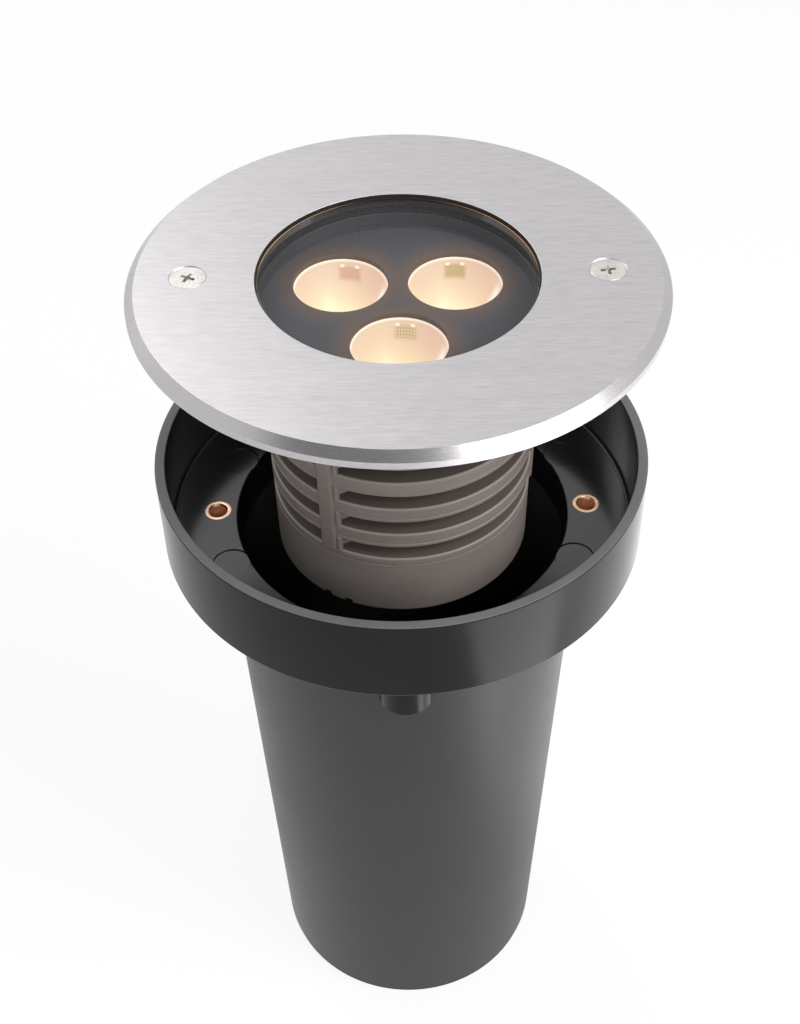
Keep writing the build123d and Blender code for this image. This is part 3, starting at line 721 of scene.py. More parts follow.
class WELLLIGHT_OT_finishes(Operator):
    """Makes the finishes and gives them to the CAD pieces"""

    bl_idname = "well_light.finishes"
    bl_label = "Finishes"

    def execute(self, context):
        colours = context.scene.well_light_colours
        brushed_steel("Brushed stainless steel", colours.steel, 0.40, 0.10)
        brushed_steel("Ground steel bevel", shaded(colours.steel, 0.94), 0.27, 0.03)
        # Dark steel for the wall of the bezel's opening: painted shade in the gap around the glass.
        turned_steel("Steel in painted shade", (0.09, 0.085, 0.08), 0.45)
        turned_steel("Plain stainless steel", (0.55, 0.55, 0.56), 0.34)
        turned_steel("Bright screw steel", (0.66, 0.63, 0.60), 0.30)
        housing_paint("Satin housing paint", colours.housing)
        # Darker copy of the housing paint: painted shade for the cooling slots.
        housing_paint("Painted shade in the slots", colours.slot)
        moulded_plastic("Black moulded plastic", colours.black, 0.14, 0.24, peel=0.03, sheen=0.13)
        moulded_plastic("Satin black ledge", colours.black, 0.14, 0.18, peel=0.0, sheen=0.8)
        moulded_plastic("Matt edge with painted light", colours.rim, 0.50, 0.62, peel=0.06, sheen=0.3)
        moulded_plastic("Dark grey moulded plastic", colours.grey, 0.32, 0.44, cloud_scale=22, peel=0.04, sheen=0.26)
        moulded_plastic("Black polyamide", (0.016, 0.016, 0.017), 0.36, 0.50)
        moulded_plastic("Dull anthracite", colours.anthracite, 0.36, 0.46, peel=0.02, sheen=0.4)
        lens_plate_finish(colours)
        moulded_plastic("Red lead insulation", (0.52, 0.03, 0.02), 0.40, 0.50)
        moulded_plastic("Dark components", (0.02, 0.02, 0.022), 0.35, 0.50)
        moulded_plastic("White terminal plastic", (0.62, 0.62, 0.60), 0.38, 0.50)
        rubber("Black rubber", (0.014, 0.014, 0.014))
        rubber("Black silicone", (0.018, 0.018, 0.019))
        rubber("Grey thermal pad", (0.20, 0.21, 0.23))
        board("White circuit board", (0.68, 0.68, 0.66))
        board("Green circuit board", (0.02, 0.12, 0.04))
        insert_brass(colours)
        insert_bore()
        window_glass()
        glass_edge()
        # Each optic's painted reflection of its light source: where it lies across the optic, its colour, and whether
        # it is dotted.
        optic_cream("left", 1.9 * MM, (0.66, 0.36, 0.26), False)
        optic_cream("right", 0.3 * MM, (0.52, 0.36, 0.16), False)
        optic_cream("front", 1.4 * MM, (0.50, 0.36, 0.16), True)
        lit_source()
        for part in frame["record"]["subparts"]:
            node = frame["nodes"][part["node"]]
            node.data.materials.clear()
            node.data.materials.append(bpy.data.materials[SLOT_FINISHES[part["material_slot"]]])
        return {"FINISHED"}


# ---------------------------------------------------------------- bezel and screws

class WELLLIGHT_OT_bezel(Operator):
    """Models the steel ring with its bevel, its opening and two countersunk holes"""

    bl_idname = "well_light.bezel"
    bl_label = "Bezel"

    def execute(self, context):
        sizes = context.scene.well_light_bezel
        radius, top, underside = bezel_high.x, bezel_high.z, bezel_low.z
        ring = turned("bezel", [
            (sizes.opening_radius, underside, sizes.edge_round),
            (radius, underside, sizes.edge_round),
            (radius, top - sizes.chamfer_height, sizes.edge_round),
            (radius - sizes.chamfer_width, top, sizes.edge_round),
            (sizes.opening_radius, top, sizes.opening_round),
        ], steps=256)
        lip = 0.08 * MM
        depth = sizes.sink_radius - sizes.hole_radius
        for side in (-1, 1):
            sink = turned("sink", [
                (0, underside - MM),
                (sizes.hole_radius, underside - MM),
                (sizes.hole_radius, top - depth),
                (sizes.sink_radius - lip, top - lip),
                (sizes.sink_radius + lip / 2, top + lip / 4),
                (sizes.sink_radius + lip / 2, top + MM),
                (0, top + MM),
            ], closed=False, steps=64, at=(side * screw_circle, 0))
            carve(ring, sink)
        finished(ring, "luminaire", "bezel_ring", "Brushed stainless steel", angle=18)
        bevel_foot = radius - sizes.chamfer_width - 0.2 * MM
        second_finish(ring, "Ground steel bevel", lambda face: (
            face.center.xy.length > bevel_foot and face.normal.z < 0.97 and face.normal.z > 0.2))
        # The wall of the opening takes the dark steel: painted shade.
        second_finish(ring, "Steel in painted shade", lambda face: (
            face.center.xy.length < sizes.opening_radius + 0.15 * MM and face.normal.z < 0.5))
        return {"FINISHED"}


def cross_cutter(sizes, centre, top):
    """Two tapered arms that cut a cross recess."""
    arms = []
    for turn in (0, pi / 2):
        half_span, half_width = sizes.cross_span / 2, sizes.cross_width / 2
        arm = block("arm", (-half_span, -half_width, -sizes.cross_depth), (half_span, half_width, MM))
        only(arm)
        resized(arm, coordinates(arm)[:, 2] < 0, (0.45, 0.55, 1))
        soften(arm, 0.12 * MM)
        arm.data.transform(Matrix.Translation((*centre, top)) @ Matrix.Rotation(turn, 4, "Z"))
        arms.append(arm)
    return arms


class WELLLIGHT_OT_screws(Operator):
    """Models the two countersunk screws with cross recess and thread"""

    bl_idname = "well_light.screws"
    bl_label = "Bezel screws"

    def execute(self, context):
        sizes = context.scene.well_light_bezel
        top, tip = screw_high.z, screw_low.z
        core = sizes.thread_radius - 0.36 * MM
        cone_foot = top - (sizes.head_radius - sizes.thread_radius) - 0.15 * MM
        for side, direction, cross_angle in (("left", -1, radians(63)), ("right", 1, radians(10))):
            centre = (direction * screw_circle, 0)
            screw = turned("bezel_screw_" + side, [
                (0, tip),
                (core - 0.4 * MM, tip, 0.1 * MM),
                (core, tip + 0.5 * MM, 0.1 * MM),
                (core, cone_foot - 3.0 * MM, 0.1 * MM),
                (sizes.thread_radius, cone_foot - 2.7 * MM, 0.1 * MM),
                (sizes.thread_radius, cone_foot, 0.1 * MM),
                (sizes.head_radius, top - 0.15 * MM, 0.06 * MM),
                (sizes.head_radius, top, 0.08 * MM),
                (0, top),
            ], closed=False, steps=64, at=centre)
            thread = self.thread(sizes, core, tip + 0.6 * MM, cone_foot - 3.2 * MM, centre)
            for arm in cross_cutter(sizes, centre, top):
                carve(screw, spun_about(arm, cross_angle, (*centre, 0)))
            joined(screw, [thread])
            finished(screw, "screw_" + side, "screw_" + side, "Bright screw steel")
        return {"FINISHED"}

    def thread(self, sizes, core, bottom, top, centre):
        """Helical ridge round the shank."""
        half = sizes.thread_pitch / 2
        inner, outer = core - 0.06 * MM, sizes.thread_radius
        ridge = traced("thread", [
            Vector((inner, bottom)), Vector((outer, bottom + 0.8 * half)),
            Vector((outer, bottom + 1.1 * half)), Vector((inner, bottom + 1.9 * half))])
        bpy.ops.mesh.edge_face_add()
        bpy.ops.object.mode_set(mode="OBJECT")
        screw = ridge.modifiers.new("screw", "SCREW")
        screw.screw_offset = sizes.thread_pitch
        screw.iterations = int((top - bottom) / sizes.thread_pitch) - 1
        screw.steps = screw.render_steps = 24
        screw.use_normal_calculate = True
        bpy.ops.object.modifier_apply(modifier=screw.name)
        ridge.data.transform(Matrix.Translation((*centre, 0)))
        only(ridge)
        outward(merge=0.001 * MM)
        return ridge


# ---------------------------------------------------------------- glass, lens plate and optics

class WELLLIGHT_OT_glass(Operator):
    """Models the stepped glass"""

    bl_idname = "well_light.glass"
    bl_label = "Glass"

    def execute(self, context):
        sizes = context.scene.well_light_optics
        flange_top = bezel_low.z - 0.6 * MM
        glass = turned("glass", [
            (0, glass_low.z),
            (glass_high.x, glass_low.z, 0.2 * MM),
            (glass_high.x, flange_top, 0.2 * MM),
            (sizes.glass_step_radius, flange_top, 0.1 * MM),
            (sizes.glass_step_radius, glass_high.z, sizes.glass_round),
            (0, glass_high.z),
        ], closed=False)
        finished(glass, "luminaire", "front_glass", "Clear glass")
        # The glass's rounded upper edge takes the painted glow.
        second_finish(glass, "Glass edge with painted glow", lambda face: (
            face.center.xy.length > sizes.glass_step_radius - sizes.glass_round
            and face.center.z > glass_high.z - sizes.glass_round and face.normal.z < 0.99))
        glass.visible_shadow = glass.visible_diffuse = glass.visible_glossy = False
        return {"FINISHED"}


class WELLLIGHT_OT_lens_plate(Operator):
    """Models the dark ring and the dark plate with its three holes"""

    bl_idname = "well_light.lens_plate"
    bl_label = "Lens plate"

    def execute(self, context):
        sizes = context.scene.well_light_optics
        outer = trim_high.x
        ring = turned("trim", [
            (outer - sizes.trim_foot_wall, trim_low.z, 0.1 * MM),
            (outer, trim_low.z, 0.1 * MM),
            (outer, trim_high.z, 0.1 * MM),
            (outer - sizes.trim_top_wall, trim_high.z, 0.1 * MM),
        ])
        finished(ring, "luminaire", "trim_ring", "Dull anthracite")
        plate = turned("plate", [
            (0, plate_low.z),
            (plate_high.x, plate_low.z, 0.1 * MM),
            (plate_high.x, plate_high.z, 0.1 * MM),
            (0, plate_high.z),
        ], closed=False)
        hole = sizes.mouth_radius + 0.15 * MM
        ease = 0.3 * MM
        for place in optic_places.values():
            carve(plate, turned("hole", [
                (0, plate_low.z - MM),
                (hole, plate_low.z - MM),
                (hole, plate_high.z - ease),
                (hole + 0.3 * ease, plate_high.z - 0.3 * ease),
                (hole + ease, plate_high.z + 0.05 * ease),
                (hole + ease, plate_high.z + MM),
                (0, plate_high.z + MM),
            ], closed=False, steps=96, at=place[:2]))
        finished(plate, "luminaire", "lens_plate", "Anthracite with painted glow", angle=25)
        return {"FINISHED"}


class WELLLIGHT_OT_optics(Operator):
    """Models the three warm reflectors"""

    bl_idname = "well_light.optics"
    bl_label = "Optics"

    def execute(self, context):
        sizes = context.scene.well_light_optics
        for side, (low, high) in optic_boxes.items():
            height = high.z - low.z
            bowl = []
            for step in range(15):
                share = step / 14
                bowl.append((sizes.foot_bore + share * (sizes.mouth_radius - sizes.foot_bore),
                             low.z + share**2 * height))
            back = [(radius + sizes.wall, level) for radius, level in reversed(bowl)]
            optic = turned("reflector_" + side, bowl + back, steps=128, at=optic_places[side][:2])
            finished(optic, "luminaire", "optic_" + side, "Reflector with painted glow " + side)
        return {"FINISHED"}


# ---------------------------------------------------------------- housing and rear cover

def housing_radius(sizes, height):
    """Outer radius of the drafted housing."""
    return sizes.foot_radius + (height - seam_height) * tan(sizes.draft)


class WELLLIGHT_OT_housing(Operator):
    """Models the die-cast housing with its slots, columns, beads and tapers"""

    bl_idname = "well_light.housing"
    bl_label = "Housing"

    def execute(self, context):
        sizes = context.scene.well_light_housing
        roofs = [sizes.top_roof - row * sizes.slot_pitch for row in range(sizes.slot_count)]
        half_column = asin(sizes.column_width / 2 / sizes.foot_radius)
        bead = sizes.bead_width / sizes.foot_radius
        wall = sizes.slot_wall / sizes.foot_radius
        slot_start = half_column + bead
        slot_end = 2 * pi / 3 - half_column
        relief = self.column_relief(sizes, half_column)
        ramp_end = slot_start + sizes.ramp_length / sizes.foot_radius
        stops = self.stops(sizes, relief, half_column, slot_start, ramp_end, slot_end, wall)
        housing = turned("housing", self.profile(sizes, roofs), closed=False, stops=[0.0] + [
            stop - stops[0] for stop in stops[1:]])
        spun_about(housing, stops[0])
        self.close_slots(housing, sizes, roofs, slot_start, slot_end, wall)
        self.taper_slots(housing, sizes, roofs, slot_start, ramp_end)
        self.raise_columns(housing, sizes, relief)
        only(housing)
        outward()
        self.add_beads(housing, sizes, roofs, half_column)
        finished(housing, "luminaire", "heatsink_housing", "Satin housing paint", angle=42)
        spare = 0.2 * MM
        lowest, highest = roofs[-1] - sizes.slot_height - spare, roofs[0] + spare
        innermost, behind_fins = sizes.core_radius - MM, sizes.foot_radius - 0.9 * MM
        # Faces inside the slots get the darker paint: painted shade between the fins.
        second_finish(housing, "Painted shade in the slots", lambda face: (
            lowest < face.center.z < highest and innermost < face.center.xy.length < behind_fins))
        return {"FINISHED"}

    def stops(self, sizes, relief, half_column, slot_start, ramp_end, slot_end, wall):
        """Angles at which the profile is repeated: close together at the columns, even between them."""
        ramp_steps, plain_steps = 4, 44
        ramp_start = slot_start + wall
        third = [angle for angle, rise in relief if angle < pi / 3]
        third += [slot_start - wall, slot_start, ramp_start, slot_end, slot_end + wall]
        third += [ramp_start + (ramp_end - ramp_start) * step / ramp_steps for step in range(1, ramp_steps + 1)]
        third += [ramp_end + (slot_end - wall - ramp_end) * step / plain_steps for step in range(1, plain_steps + 1)]
        third = {round(angle, 7) for angle in third if -half_column <= angle}
        stops = {round((sizes.first_column + turn * 2 * pi / 3 + angle) % (2 * pi), 6)
                 for turn in range(3) for angle in third}
        stops = sorted(stops)
        return stops + [stops[0] + 2 * pi]

    def add_beads(self, housing, sizes, roofs, half_column):
        """Half-round bead beside each column at the start of every slot."""
        beads = []
        reach = sizes.bead_round / sizes.foot_radius
        for turn in range(3):
            angle = sizes.first_column + turn * 2 * pi / 3 + half_column + reach
            for roof in roofs:
                foot, head = roof - sizes.slot_height + 0.1 * MM, roof + 0.3 * MM
                distance = housing_radius(sizes, roof) - 0.55 * sizes.bead_round
                beads.append(turned("bead", [
                    (0, foot), (sizes.bead_round, foot, 0.2 * MM), (sizes.bead_round, head, 0.2 * MM), (0, head),
                ], closed=False, steps=24, at=around(distance, angle)))
        joined(housing, beads)

    def profile(self, sizes, roofs):
        """Half section of the housing, from the driver's cavity round to the light chamber."""
        seat, opening = glass_low.z - 0.8 * MM, 31.5 * MM
        flange, flange_under = housing_high.x, bezel_low.z - 5.0 * MM
        neck, neck_under = 35.8 * MM, bezel_low.z - 9.7 * MM
        recess = glass_high.x + 0.2 * MM
        chamber, chamber_foot = 27.6 * MM, 218.8 * MM
        web, driver = 212.8 * MM, 20.5 * MM
        corners = [(0, web), (driver, web, 0.8 * MM), (driver, seam_height, 0.2 * MM)]
        seam_wall = sizes.foot_radius - sizes.seam_depth
        corners += [(seam_wall, seam_height), (seam_wall, seam_height + sizes.seam_gap),
                    (sizes.foot_radius, seam_height + sizes.seam_gap, 0.05 * MM)]
        for roof in reversed(roofs):
            floor = roof - sizes.slot_height
            groove = roof + 1.05 * MM
            corners += [
                (housing_radius(sizes, floor), floor, 0.5 * MM),
                (sizes.core_radius, floor + 0.3 * MM, 0.5 * MM),
                (sizes.core_radius, roof - 0.3 * MM, 0.5 * MM),
                (housing_radius(sizes, roof), roof, 0.35 * MM),
                (housing_radius(sizes, roof), roof + 0.75 * MM),
                (housing_radius(sizes, groove), groove - 0.18 * MM),
                (housing_radius(sizes, groove) - 0.25 * MM, groove),
                (housing_radius(sizes, groove), groove + 0.18 * MM),
            ]
        corners += [
            (housing_radius(sizes, neck_under), neck_under, 0.4 * MM),
            (neck, neck_under, 0.5 * MM),
            (neck, flange_under, 0.4 * MM),
            (flange, flange_under, 0.4 * MM),
            (flange, bezel_low.z, 0.2 * MM),
            (recess, bezel_low.z, 0.1 * MM),
            (recess, seat, 0.1 * MM),
            (opening, seat, 0.1 * MM),
            (opening, plate_low.z, 0.1 * MM),
            (chamber, plate_low.z, 0.2 * MM),
            (chamber, chamber_foot, 0.4 * MM),
            (0, chamber_foot),
        ]
        return corners

    def column_relief(self, sizes, half_column):
        """Angles across a column with how far its face stands out there."""
        relief = []
        radius = sizes.foot_radius
        insets = (0.04 * MM, 0.10 * MM, 0.22 * MM, 0.42 * MM, 0.8 * MM, 1.7 * MM, 2.6 * MM)
        for inset in insets:
            drop = max(0.0, sizes.column_round - inset)
            rise = sizes.column_proud - sizes.column_round + sqrt(max(0.0, sizes.column_round**2 - drop**2))
            angle = half_column - inset / radius
            flat = (radius + sizes.column_proud) / cos(angle) - radius - sizes.column_proud
            for way in (-1, 1):
                relief.append((way * angle, max(0.0, rise) + flat * (1 if rise > 0 else 0)))
        relief.append((half_column, 0.0))
        relief.append((-half_column, 0.0))
        return relief

    def turns(self, sizes, points):
        """Angle of each point past the nearest column before it, from 0 to a third of a turn."""
        angles = np.arctan2(points[:, 1], points[:, 0]) - sizes.first_column
        angles = np.mod(angles, 2 * pi / 3)
        return angles

    def close_slots(self, housing, sizes, roofs, slot_start, slot_end, wall):
        """Fills the slots behind the columns and their beads."""
        points = coordinates(housing)
        angles = self.turns(sizes, points)
        radii = np.hypot(points[:, 0], points[:, 1])
        solid = (angles < slot_start + wall / 2) | (angles > slot_end - wall / 2)
        edge = (np.abs(angles - slot_start) < wall / 4) | (np.abs(angles - slot_end) < wall / 4)
        lowest, highest = roofs[-1] - sizes.slot_height - MM, roofs[0] + 2 * MM
        inside = (points[:, 2] > lowest) & (points[:, 2] < highest) & (radii > sizes.core_radius - MM / 10)
        levels = np.round(points[:, 2], 7)
        edge_share, tolerance = 0.985, MM / 50
        for zone, share in ((solid & ~edge, 1.0), (edge, edge_share)):
            zone = zone & inside
            for level in np.unique(levels[zone]):
                at_level = zone & (levels == level)
                for radius in np.unique(np.round(radii[at_level], 5)):
                    target = housing_radius(sizes, level) * share
                    if radius < target - tolerance:
                        factor = target / radius
                        resized(housing, at_level & (np.round(radii, 5) == radius), (factor, factor, 1))

    def taper_slots(self, housing, sizes, roofs, slot_start, ramp_end):
        """Lowers the roof of each slot where it starts beside a bead."""
        points = coordinates(housing)
        angles = self.turns(sizes, points)
        roofed = np.zeros(len(points), bool)
        for roof in roofs:
            roofed |= (points[:, 2] > roof - 1.0 * MM) & (points[:, 2] < roof + 0.7 * MM)
        radii = np.hypot(points[:, 0], points[:, 1])
        roofed &= radii > sizes.core_radius - MM / 10
        slack = 1e-4
        tapered = angles[(angles > slot_start - slack) & (angles < ramp_end - slack)]
        for angle in np.unique(np.round(tapered, 5)):
            share = 1 - (angle - slot_start) / (ramp_end - slot_start)
            chosen = roofed & (np.round(angles, 5) == angle)
            pick(housing, chosen)
            bpy.ops.transform.translate(value=(0, 0, -share * sizes.ramp_height))
            bpy.ops.object.mode_set(mode="OBJECT")
            factor = 1 - share * sizes.ramp_depth / sizes.foot_radius
            resized(housing, chosen & (radii > sizes.foot_radius - MM), (factor, factor, 1))

    def raise_columns(self, housing, sizes, relief):
        """Lets the columns stand out of the fins."""
        points = coordinates(housing)
        angles = self.turns(sizes, points)
        angles = np.where(angles > pi / 3, angles - 2 * pi / 3, angles)
        radii = np.hypot(points[:, 0], points[:, 1])
        land = sizes.top_roof - sizes.slot_count * sizes.slot_pitch + (sizes.slot_pitch - sizes.slot_height)
        neck_under = bezel_low.z - 9.6 * MM
        heights, angle_tolerance = points[:, 2], 2e-5
        skin, outermost = sizes.foot_radius - 0.6 * MM, 33.2 * MM
        outer = (radii > skin) & (radii < outermost) & (heights < neck_under)
        run_out, column_foot = land - 0.4 * MM, land - 0.05 * MM
        for low, high, share in ((run_out, column_foot, 0.6), (column_foot, neck_under, 1.0)):
            band = outer & (heights > low) & (heights <= high)
            for angle, rise in relief:
                chosen = band & (np.abs(angles - angle) < angle_tolerance)
                if rise > 0 and chosen.any():
                    factor = 1 + share * rise / sizes.foot_radius
                    resized(housing, chosen, (factor, factor, 1))


class WELLLIGHT_OT_rear_cover(Operator):
    """Models the closing cap with its seam, its key and its pry notches"""

    bl_idname = "well_light.rear_cover"
    bl_label = "Rear cover"

    def execute(self, context):
        sizes = context.scene.well_light_housing
        foot, seam = cover_low.z, cover_high.z
        foot_radius = sizes.foot_radius - (seam - foot) * tan(radians(0.8))
        floor = foot + 3.0 * MM
        cover = turned("cover", [
            (6.1 * MM, foot, 0.1 * MM),
            (foot_radius, foot, 0.8 * MM),
            (sizes.foot_radius, seam, 0.08 * MM),
            (19.4 * MM, seam),
            (19.4 * MM, floor, 0.6 * MM),
            (6.1 * MM, floor),
        ])
        key_half, pocket_circle = 1.7 * MM, 27.4 * MM
        key = block("key", (-key_half, -sizes.foot_radius, seam - 0.2 * MM),
                    (key_half, -sizes.foot_radius + sizes.seam_depth - 0.1 * MM, seam + sizes.seam_gap - 0.05 * MM))
        soften(key, 0.04 * MM)
        for turn in range(3):
            column = sizes.first_column + turn * 2 * pi / 3
            notches = column + radians(2.4)
            for side in (-1, 1):
                low = (foot_radius - 2.0 * MM, side * 2.9 * MM - 1.1 * MM, foot - MM)
                high = (foot_radius + 2.0 * MM, side * 2.9 * MM + 1.1 * MM, foot + 1.5 * MM)
                notch = block("notch", low, high)
                soften(notch, 0.25 * MM)
                carve(cover, spun_about(notch, notches))
            pocket = post("pocket", 2.5 * MM, foot - MM, foot + 3.0 * MM, 48, around(pocket_circle, column))
            carve(cover, pocket)
        joined(cover, [key])
        finished(cover, "luminaire", "rear_cover", "Satin housing paint")
        return {"FINISHED"}


# ---------------------------------------------------------------- pot

class WELLLIGHT_OT_collar(Operator):
    """Models the pot's collar with its ledge, bosses, marks and brass inserts"""

    bl_idname = "well_light.collar"
    bl_label = "Pot collar"

    def execute(self, context):
        sizes = context.scene.well_light_pot
        radius, rim, underside = collar_high.x, collar_high.z, barrel_top
        bore = radius - sizes.collar_wall
        spigot_foot = underside - 9.0 * MM
        hole = sizes.insert_radius + 0.02 * MM
        collar = turned("collar", [
            (sizes.ledge_hole, ledge_top, 0.35 * MM),
            (sizes.ledge_hole, spigot_foot, 0.2 * MM),
            (barrel_high.x - sizes.barrel_wall - 0.45 * MM, spigot_foot, 0.2 * MM),
            (barrel_high.x - sizes.barrel_wall - 0.1 * MM, underside, 0.1 * MM),
            (radius, underside, 0.6 * MM),
            (radius, rim, sizes.rim_round),
            (bore, rim, sizes.rim_round),
            (bore, ledge_top, sizes.ledge_corner),
        ], steps=256)
        for turn in range(4):
            place = around(insert_circle, turn * pi / 2)
            boss = post("boss", sizes.boss_radius, boss_foot, underside + MM, 96, place, ease=0.4 * MM)
            carve(boss, post("well", sizes.ledge_hole, boss_foot - MM, rim))
            carve(collar, boss, "UNION")
        for side in (0, pi):
            place = around(insert_circle, side)
            carve(collar, post("insert_hole", hole, insert_low.z, ledge_top + MM, 64, place))
            for swing in (-sizes.mark_swing, sizes.mark_swing):
                angle = side + swing
                reach = insert_circle - sizes.mark_inset
                carve(collar, turned("mark", [
                    (0, ledge_top - sizes.mark_depth), (sizes.mark_radius - 0.1 * MM, ledge_top - sizes.mark_depth),
                    (sizes.mark_radius, ledge_top - 0.15 * MM), (sizes.mark_radius + 0.15 * MM, ledge_top + 0.02 * MM),
                    (sizes.mark_radius + 0.15 * MM, ledge_top + 0.5 * MM), (0, ledge_top + 0.5 * MM),
                ], closed=False, steps=64, at=around(reach, angle)))
        finished(collar, "pot", "pot_collar", "Black moulded plastic", angle=28)
        # The rim's top and lower outer edge take the lighter grey: a matt finish and painted light, the lower edge a
        # painted highlight line.
        second_finish(collar, "Matt edge with painted light", lambda face: (
            face.center.z > rim - 0.15 * MM
            or (face.center.xy.length > radius - 0.7 * MM and face.center.z < underside + 0.4 * MM)))
        second_finish(collar, "Satin black ledge", lambda face: (
            face.normal.z > 0.99 and abs(face.center.z - ledge_top) < 0.4 * MM))
        self.inserts(sizes)
        return {"FINISHED"}

    def inserts(self, sizes):
        """Brass bushes with a chamfered bore."""
        for side, direction in (("left", -1), ("right", 1)):
            bush = turned("bush_" + side, [
                (sizes.insert_bore, insert_low.z),
                (sizes.insert_radius, insert_low.z, 0.1 * MM),
                (sizes.insert_radius, ledge_top, 0.12 * MM),
                (sizes.insert_mouth, ledge_top, 0.08 * MM),
                (sizes.insert_bore, ledge_top + sizes.insert_bore - sizes.insert_mouth, 0.05 * MM),
            ], steps=64, at=(direction * insert_circle, 0))
            finished(bush, "pot", "insert_" + side, "Turned brass")
            middle = Vector((direction * insert_circle, 0))
            # The bores take the lighter copper tone: partly painted light.
            bore_reach = sizes.insert_bore + 0.22 * MM
            second_finish(bush, "Copper bore with painted light", lambda face: (
                (face.center.xy - middle).length < bore_reach and abs(face.normal.z) < 0.3))


class WELLLIGHT_OT_barrel(Operator):
    """Models the pot's tapered barrel"""

    bl_idname = "well_light.barrel"
    bl_label = "Pot barrel"

    def execute(self, context):
        sizes = context.scene.well_light_pot
        top_radius = barrel_high.x
        foot = barrel_low.z
        foot_radius = top_radius - (barrel_top - foot) * tan(radians(2.2))
        wall, gap = sizes.barrel_wall, 0.1 * MM
        barrel = turned("barrel", [
            (foot_radius - wall, foot, 0.1 * MM),
            (foot_radius, foot, 0.35 * MM),
            (top_radius, barrel_top),
            (top_radius - wall, barrel_top),
        ], steps=256)
        for turn in range(4):
            place = around(insert_circle, turn * pi / 2)
            carve(barrel, post("notch", sizes.boss_radius + gap, boss_foot - gap, barrel_top + MM, 96, place))
        finished(barrel, "pot", "pot_barrel", "Dark grey moulded plastic", angle=28)
        return {"FINISHED"}


# ---------------------------------------------------------------- stage

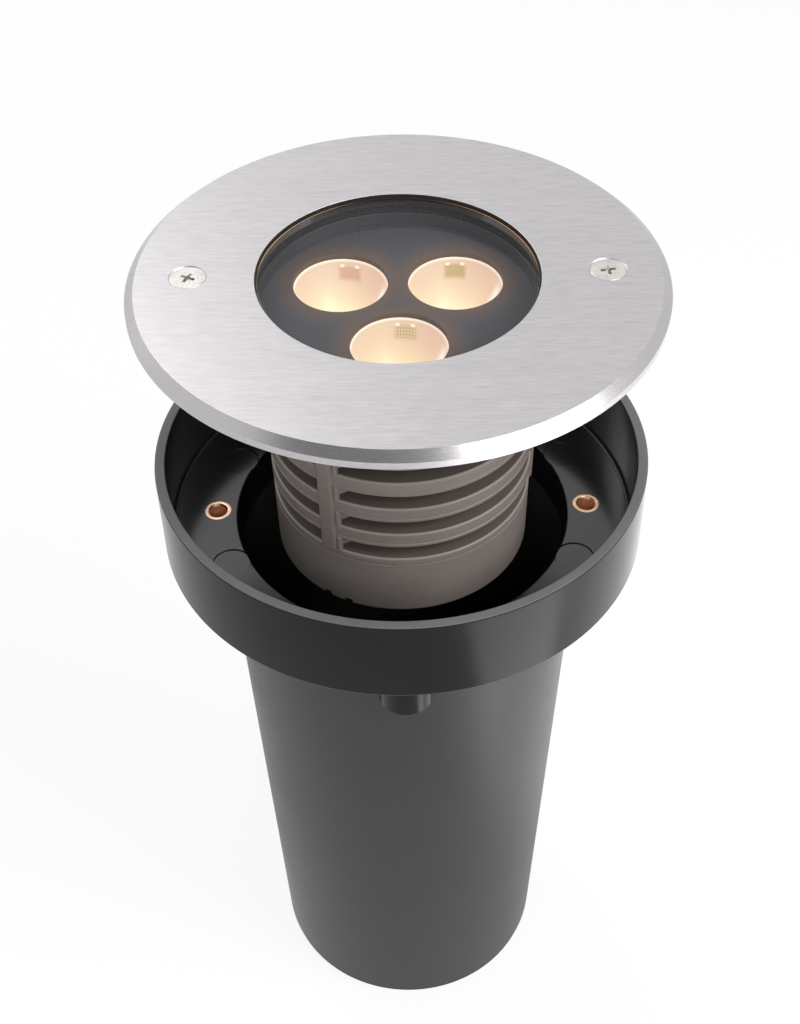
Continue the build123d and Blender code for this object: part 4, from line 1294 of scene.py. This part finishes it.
class WELLLIGHT_OT_stage(Operator):
    """Sets the floor, the world, the lamps and the camera"""

    bl_idname = "well_light.stage"
    bl_label = "Stage"

    def execute(self, context):
        settings = context.scene.well_light_stage
        context.scene.view_settings.view_transform = "Standard"
        self.floor()
        self.world(context, settings)
        self.lamp("lamp_back_left", (-0.80, 0.75, 0.95), (0.0, 0.0, 0.20), 0.70, 3.0)
        self.lamp("lamp_high_left", (-0.40, 0.62, 0.98), (0.0, 0.0, 0.17), 0.40, 1.7)
        self.lamp("lamp_front_right", (0.67, -0.39, 0.98), (0.0, 0.0, 0.20), 0.60, 10.0)
        front = self.lamp("lamp_front", (0.02, -0.75, 0.72), (0.0, 0.0, 0.19), 0.30, 2.6)
        front.visible_glossy = False
        self.card("card_above", (-0.16, -0.50, 0.96), (0.0, 0.0, 0.24), (0.95, 0.45), 0.22)
        self.card("card_low_front", (0.30, -0.225, 0.003), (0.30, -0.225, 1.0), (0.40, 0.29), 4.0)
        self.card("card_low_right", (0.29, 0.13, 0.003), (0.29, 0.13, 1.0), (0.42, 0.42), 1.6)
        self.camera(context, settings)
        return {"FINISHED"}

    def seen(self, nodes, links):
        """1 where a ray comes from the camera, a mirror image or through glass, or else 0."""
        path = nodes.new("ShaderNodeLightPath")
        direct = path.outputs["Is Camera Ray"]
        for kind in ("Is Glossy Ray", "Is Transmission Ray"):
            most = nodes.new("ShaderNodeMath")
            most.operation = "MAXIMUM"
            links.new(direct, most.inputs[0])
            links.new(path.outputs[kind], most.inputs[1])
            direct = most.outputs[0]
        return direct

    def floor(self):
        """Plain pale floor that looks white and keeps the object's soft shadow."""
        floor = plane("floor", 12)
        finish = Finish("Pale floor", (0.85, 0.85, 0.85), 0.9)
        finish.set("Specular IOR Level", 0.0)
        nodes, links = finish.nodes, finish.links
        white = nodes.new("ShaderNodeEmission")
        share = nodes.new("ShaderNodeMath")
        share.operation = "MULTIPLY"
        share.inputs[1].default_value = FLOOR_WHITE
        mix = nodes.new("ShaderNodeMixShader")
        links.new(self.seen(nodes, links), share.inputs[0])
        links.new(share.outputs[0], mix.inputs["Fac"])
        links.new(finish.shader.outputs["BSDF"], mix.inputs[1])
        links.new(white.outputs["Emission"], mix.inputs[2])
        links.new(mix.outputs["Shader"], nodes["Material Output"].inputs["Surface"])
        floor.data.materials.append(finish.material)

    def world(self, context, settings):
        """Soft light from all round, and white wherever the background is seen."""
        world = bpy.data.worlds.new("Studio")
        context.scene.world = world
        world.use_nodes = True
        nodes, links = world.node_tree.nodes, world.node_tree.links
        soft = nodes["Background"]
        soft.inputs["Color"].default_value = (1, 1, 1, 1)
        soft.inputs["Strength"].default_value = settings.fill
        white = nodes.new("ShaderNodeBackground")
        white.inputs["Color"].default_value = (1, 1, 1, 1)
        white.inputs["Strength"].default_value = 1.0
        mix = nodes.new("ShaderNodeMixShader")
        links.new(self.seen(nodes, links), mix.inputs["Fac"])
        links.new(soft.outputs["Background"], mix.inputs[1])
        links.new(white.outputs["Background"], mix.inputs[2])
        links.new(mix.outputs["Shader"], nodes["World Output"].inputs["Surface"])

    def lamp(self, name, place, aim, size, power):
        """Soft square lamp that points at a place."""
        light = bpy.data.lights.new(name, "AREA")
        light.size = size
        light.energy = power
        lamp = bpy.data.objects.new(name, light)
        bpy.context.scene.collection.objects.link(lamp)
        lamp.location = place
        lamp.rotation_euler = (Vector(aim) - Vector(place)).to_track_quat("-Z", "Y").to_euler()
        lamp.visible_transmission = False
        return lamp

    def card(self, name, place, aim, span, level):
        """Card that only mirror-like surfaces see, as bright as its level says."""
        card = plane(name, 1)
        card.scale = (*span, 1)
        card.rotation_euler = (Vector(aim) - Vector(place)).to_track_quat("-Z", "Y").to_euler()
        card.location = place
        finish = Finish(name, (0, 0, 0), 1.0)
        finish.set("Specular IOR Level", 0.0)
        finish.set("Emission Color", (1, 1, 1, 1))
        finish.set("Emission Strength", level)
        card.data.materials.append(finish.material)
        card.visible_camera = card.visible_diffuse = card.visible_shadow = card.visible_transmission = False

    def camera(self, context, settings):
        """Camera at the photograph's angle, a little rolled."""
        data = bpy.data.cameras.new("camera")
        data.sensor_width = 36
        data.sensor_fit = "AUTO"
        data.lens = settings.lens
        data.shift_y = 0.0108
        data.clip_start = 0.01
        camera = bpy.data.objects.new("camera", data)
        context.scene.collection.objects.link(camera)
        ahead = Vector((0, cos(settings.elevation), -sin(settings.elevation)))
        level = Vector((1, 0, 0))
        upright = level.cross(ahead)
        right = cos(settings.roll) * level + sin(settings.roll) * upright
        up = -sin(settings.roll) * level + cos(settings.roll) * upright
        target = Vector((-0.0006, 0, 0.16513))
        turn = Matrix((right, up, -ahead)).transposed().to_4x4()
        camera.matrix_world = Matrix.Translation(target - ahead * settings.distance) @ turn
        context.scene.camera = camera


# ---------------------------------------------------------------- panel and running

class WELLLIGHT_PT_panel(Panel):
    """Sizes, colours and steps of the well light"""

    bl_label = "In ground well light"
    bl_idname = "WELLLIGHT_PT_panel"
    bl_space_type = "VIEW_3D"
    bl_region_type = "UI"
    bl_category = "Well Light"

    def draw(self, context):
        scene = context.scene
        for operator in OPERATORS:
            self.layout.operator(operator.bl_idname)
        for holder in SETTINGS:
            group = getattr(scene, holder)
            box = self.layout.box()
            for name in group.bl_rna.properties.keys():
                if name not in ("rna_type", "name"):
                    box.prop(group, name)


OPERATORS = (
    WELLLIGHT_OT_finishes,
    WELLLIGHT_OT_bezel,
    WELLLIGHT_OT_screws,
    WELLLIGHT_OT_glass,
    WELLLIGHT_OT_lens_plate,
    WELLLIGHT_OT_optics,
    WELLLIGHT_OT_housing,
    WELLLIGHT_OT_rear_cover,
    WELLLIGHT_OT_collar,
    WELLLIGHT_OT_barrel,
    WELLLIGHT_OT_stage,
)

SETTINGS = {
    "well_light_bezel": BezelSizes,
    "well_light_optics": OpticSizes,
    "well_light_housing": HousingSizes,
    "well_light_pot": PotSizes,
    "well_light_colours": FinishColours,
    "well_light_stage": StageSettings,
}


def register():
    """Adds the settings, the operators and the panel."""
    for holder, group in SETTINGS.items():
        bpy.utils.register_class(group)
        setattr(bpy.types.Scene, holder, PointerProperty(type=group))
    for operator in OPERATORS:
        bpy.utils.register_class(operator)
    bpy.utils.register_class(WELLLIGHT_PT_panel)


def unregister():
    """Takes the panel, the operators and the settings away."""
    bpy.utils.unregister_class(WELLLIGHT_PT_panel)
    for operator in reversed(OPERATORS):
        bpy.utils.unregister_class(operator)
    for holder, group in reversed(SETTINGS.items()):
        delattr(bpy.types.Scene, holder)
        bpy.utils.unregister_class(group)


def main():
    """Builds every piece in order."""
    register()
    bpy.ops.well_light.finishes()
    bpy.ops.well_light.bezel()
    bpy.ops.well_light.screws()
    bpy.ops.well_light.glass()
    bpy.ops.well_light.lens_plate()
    bpy.ops.well_light.optics()
    bpy.ops.well_light.housing()
    bpy.ops.well_light.rear_cover()
    bpy.ops.well_light.collar()
    bpy.ops.well_light.barrel()
    bpy.ops.well_light.stage()


if __name__ == "__main__":
    main()
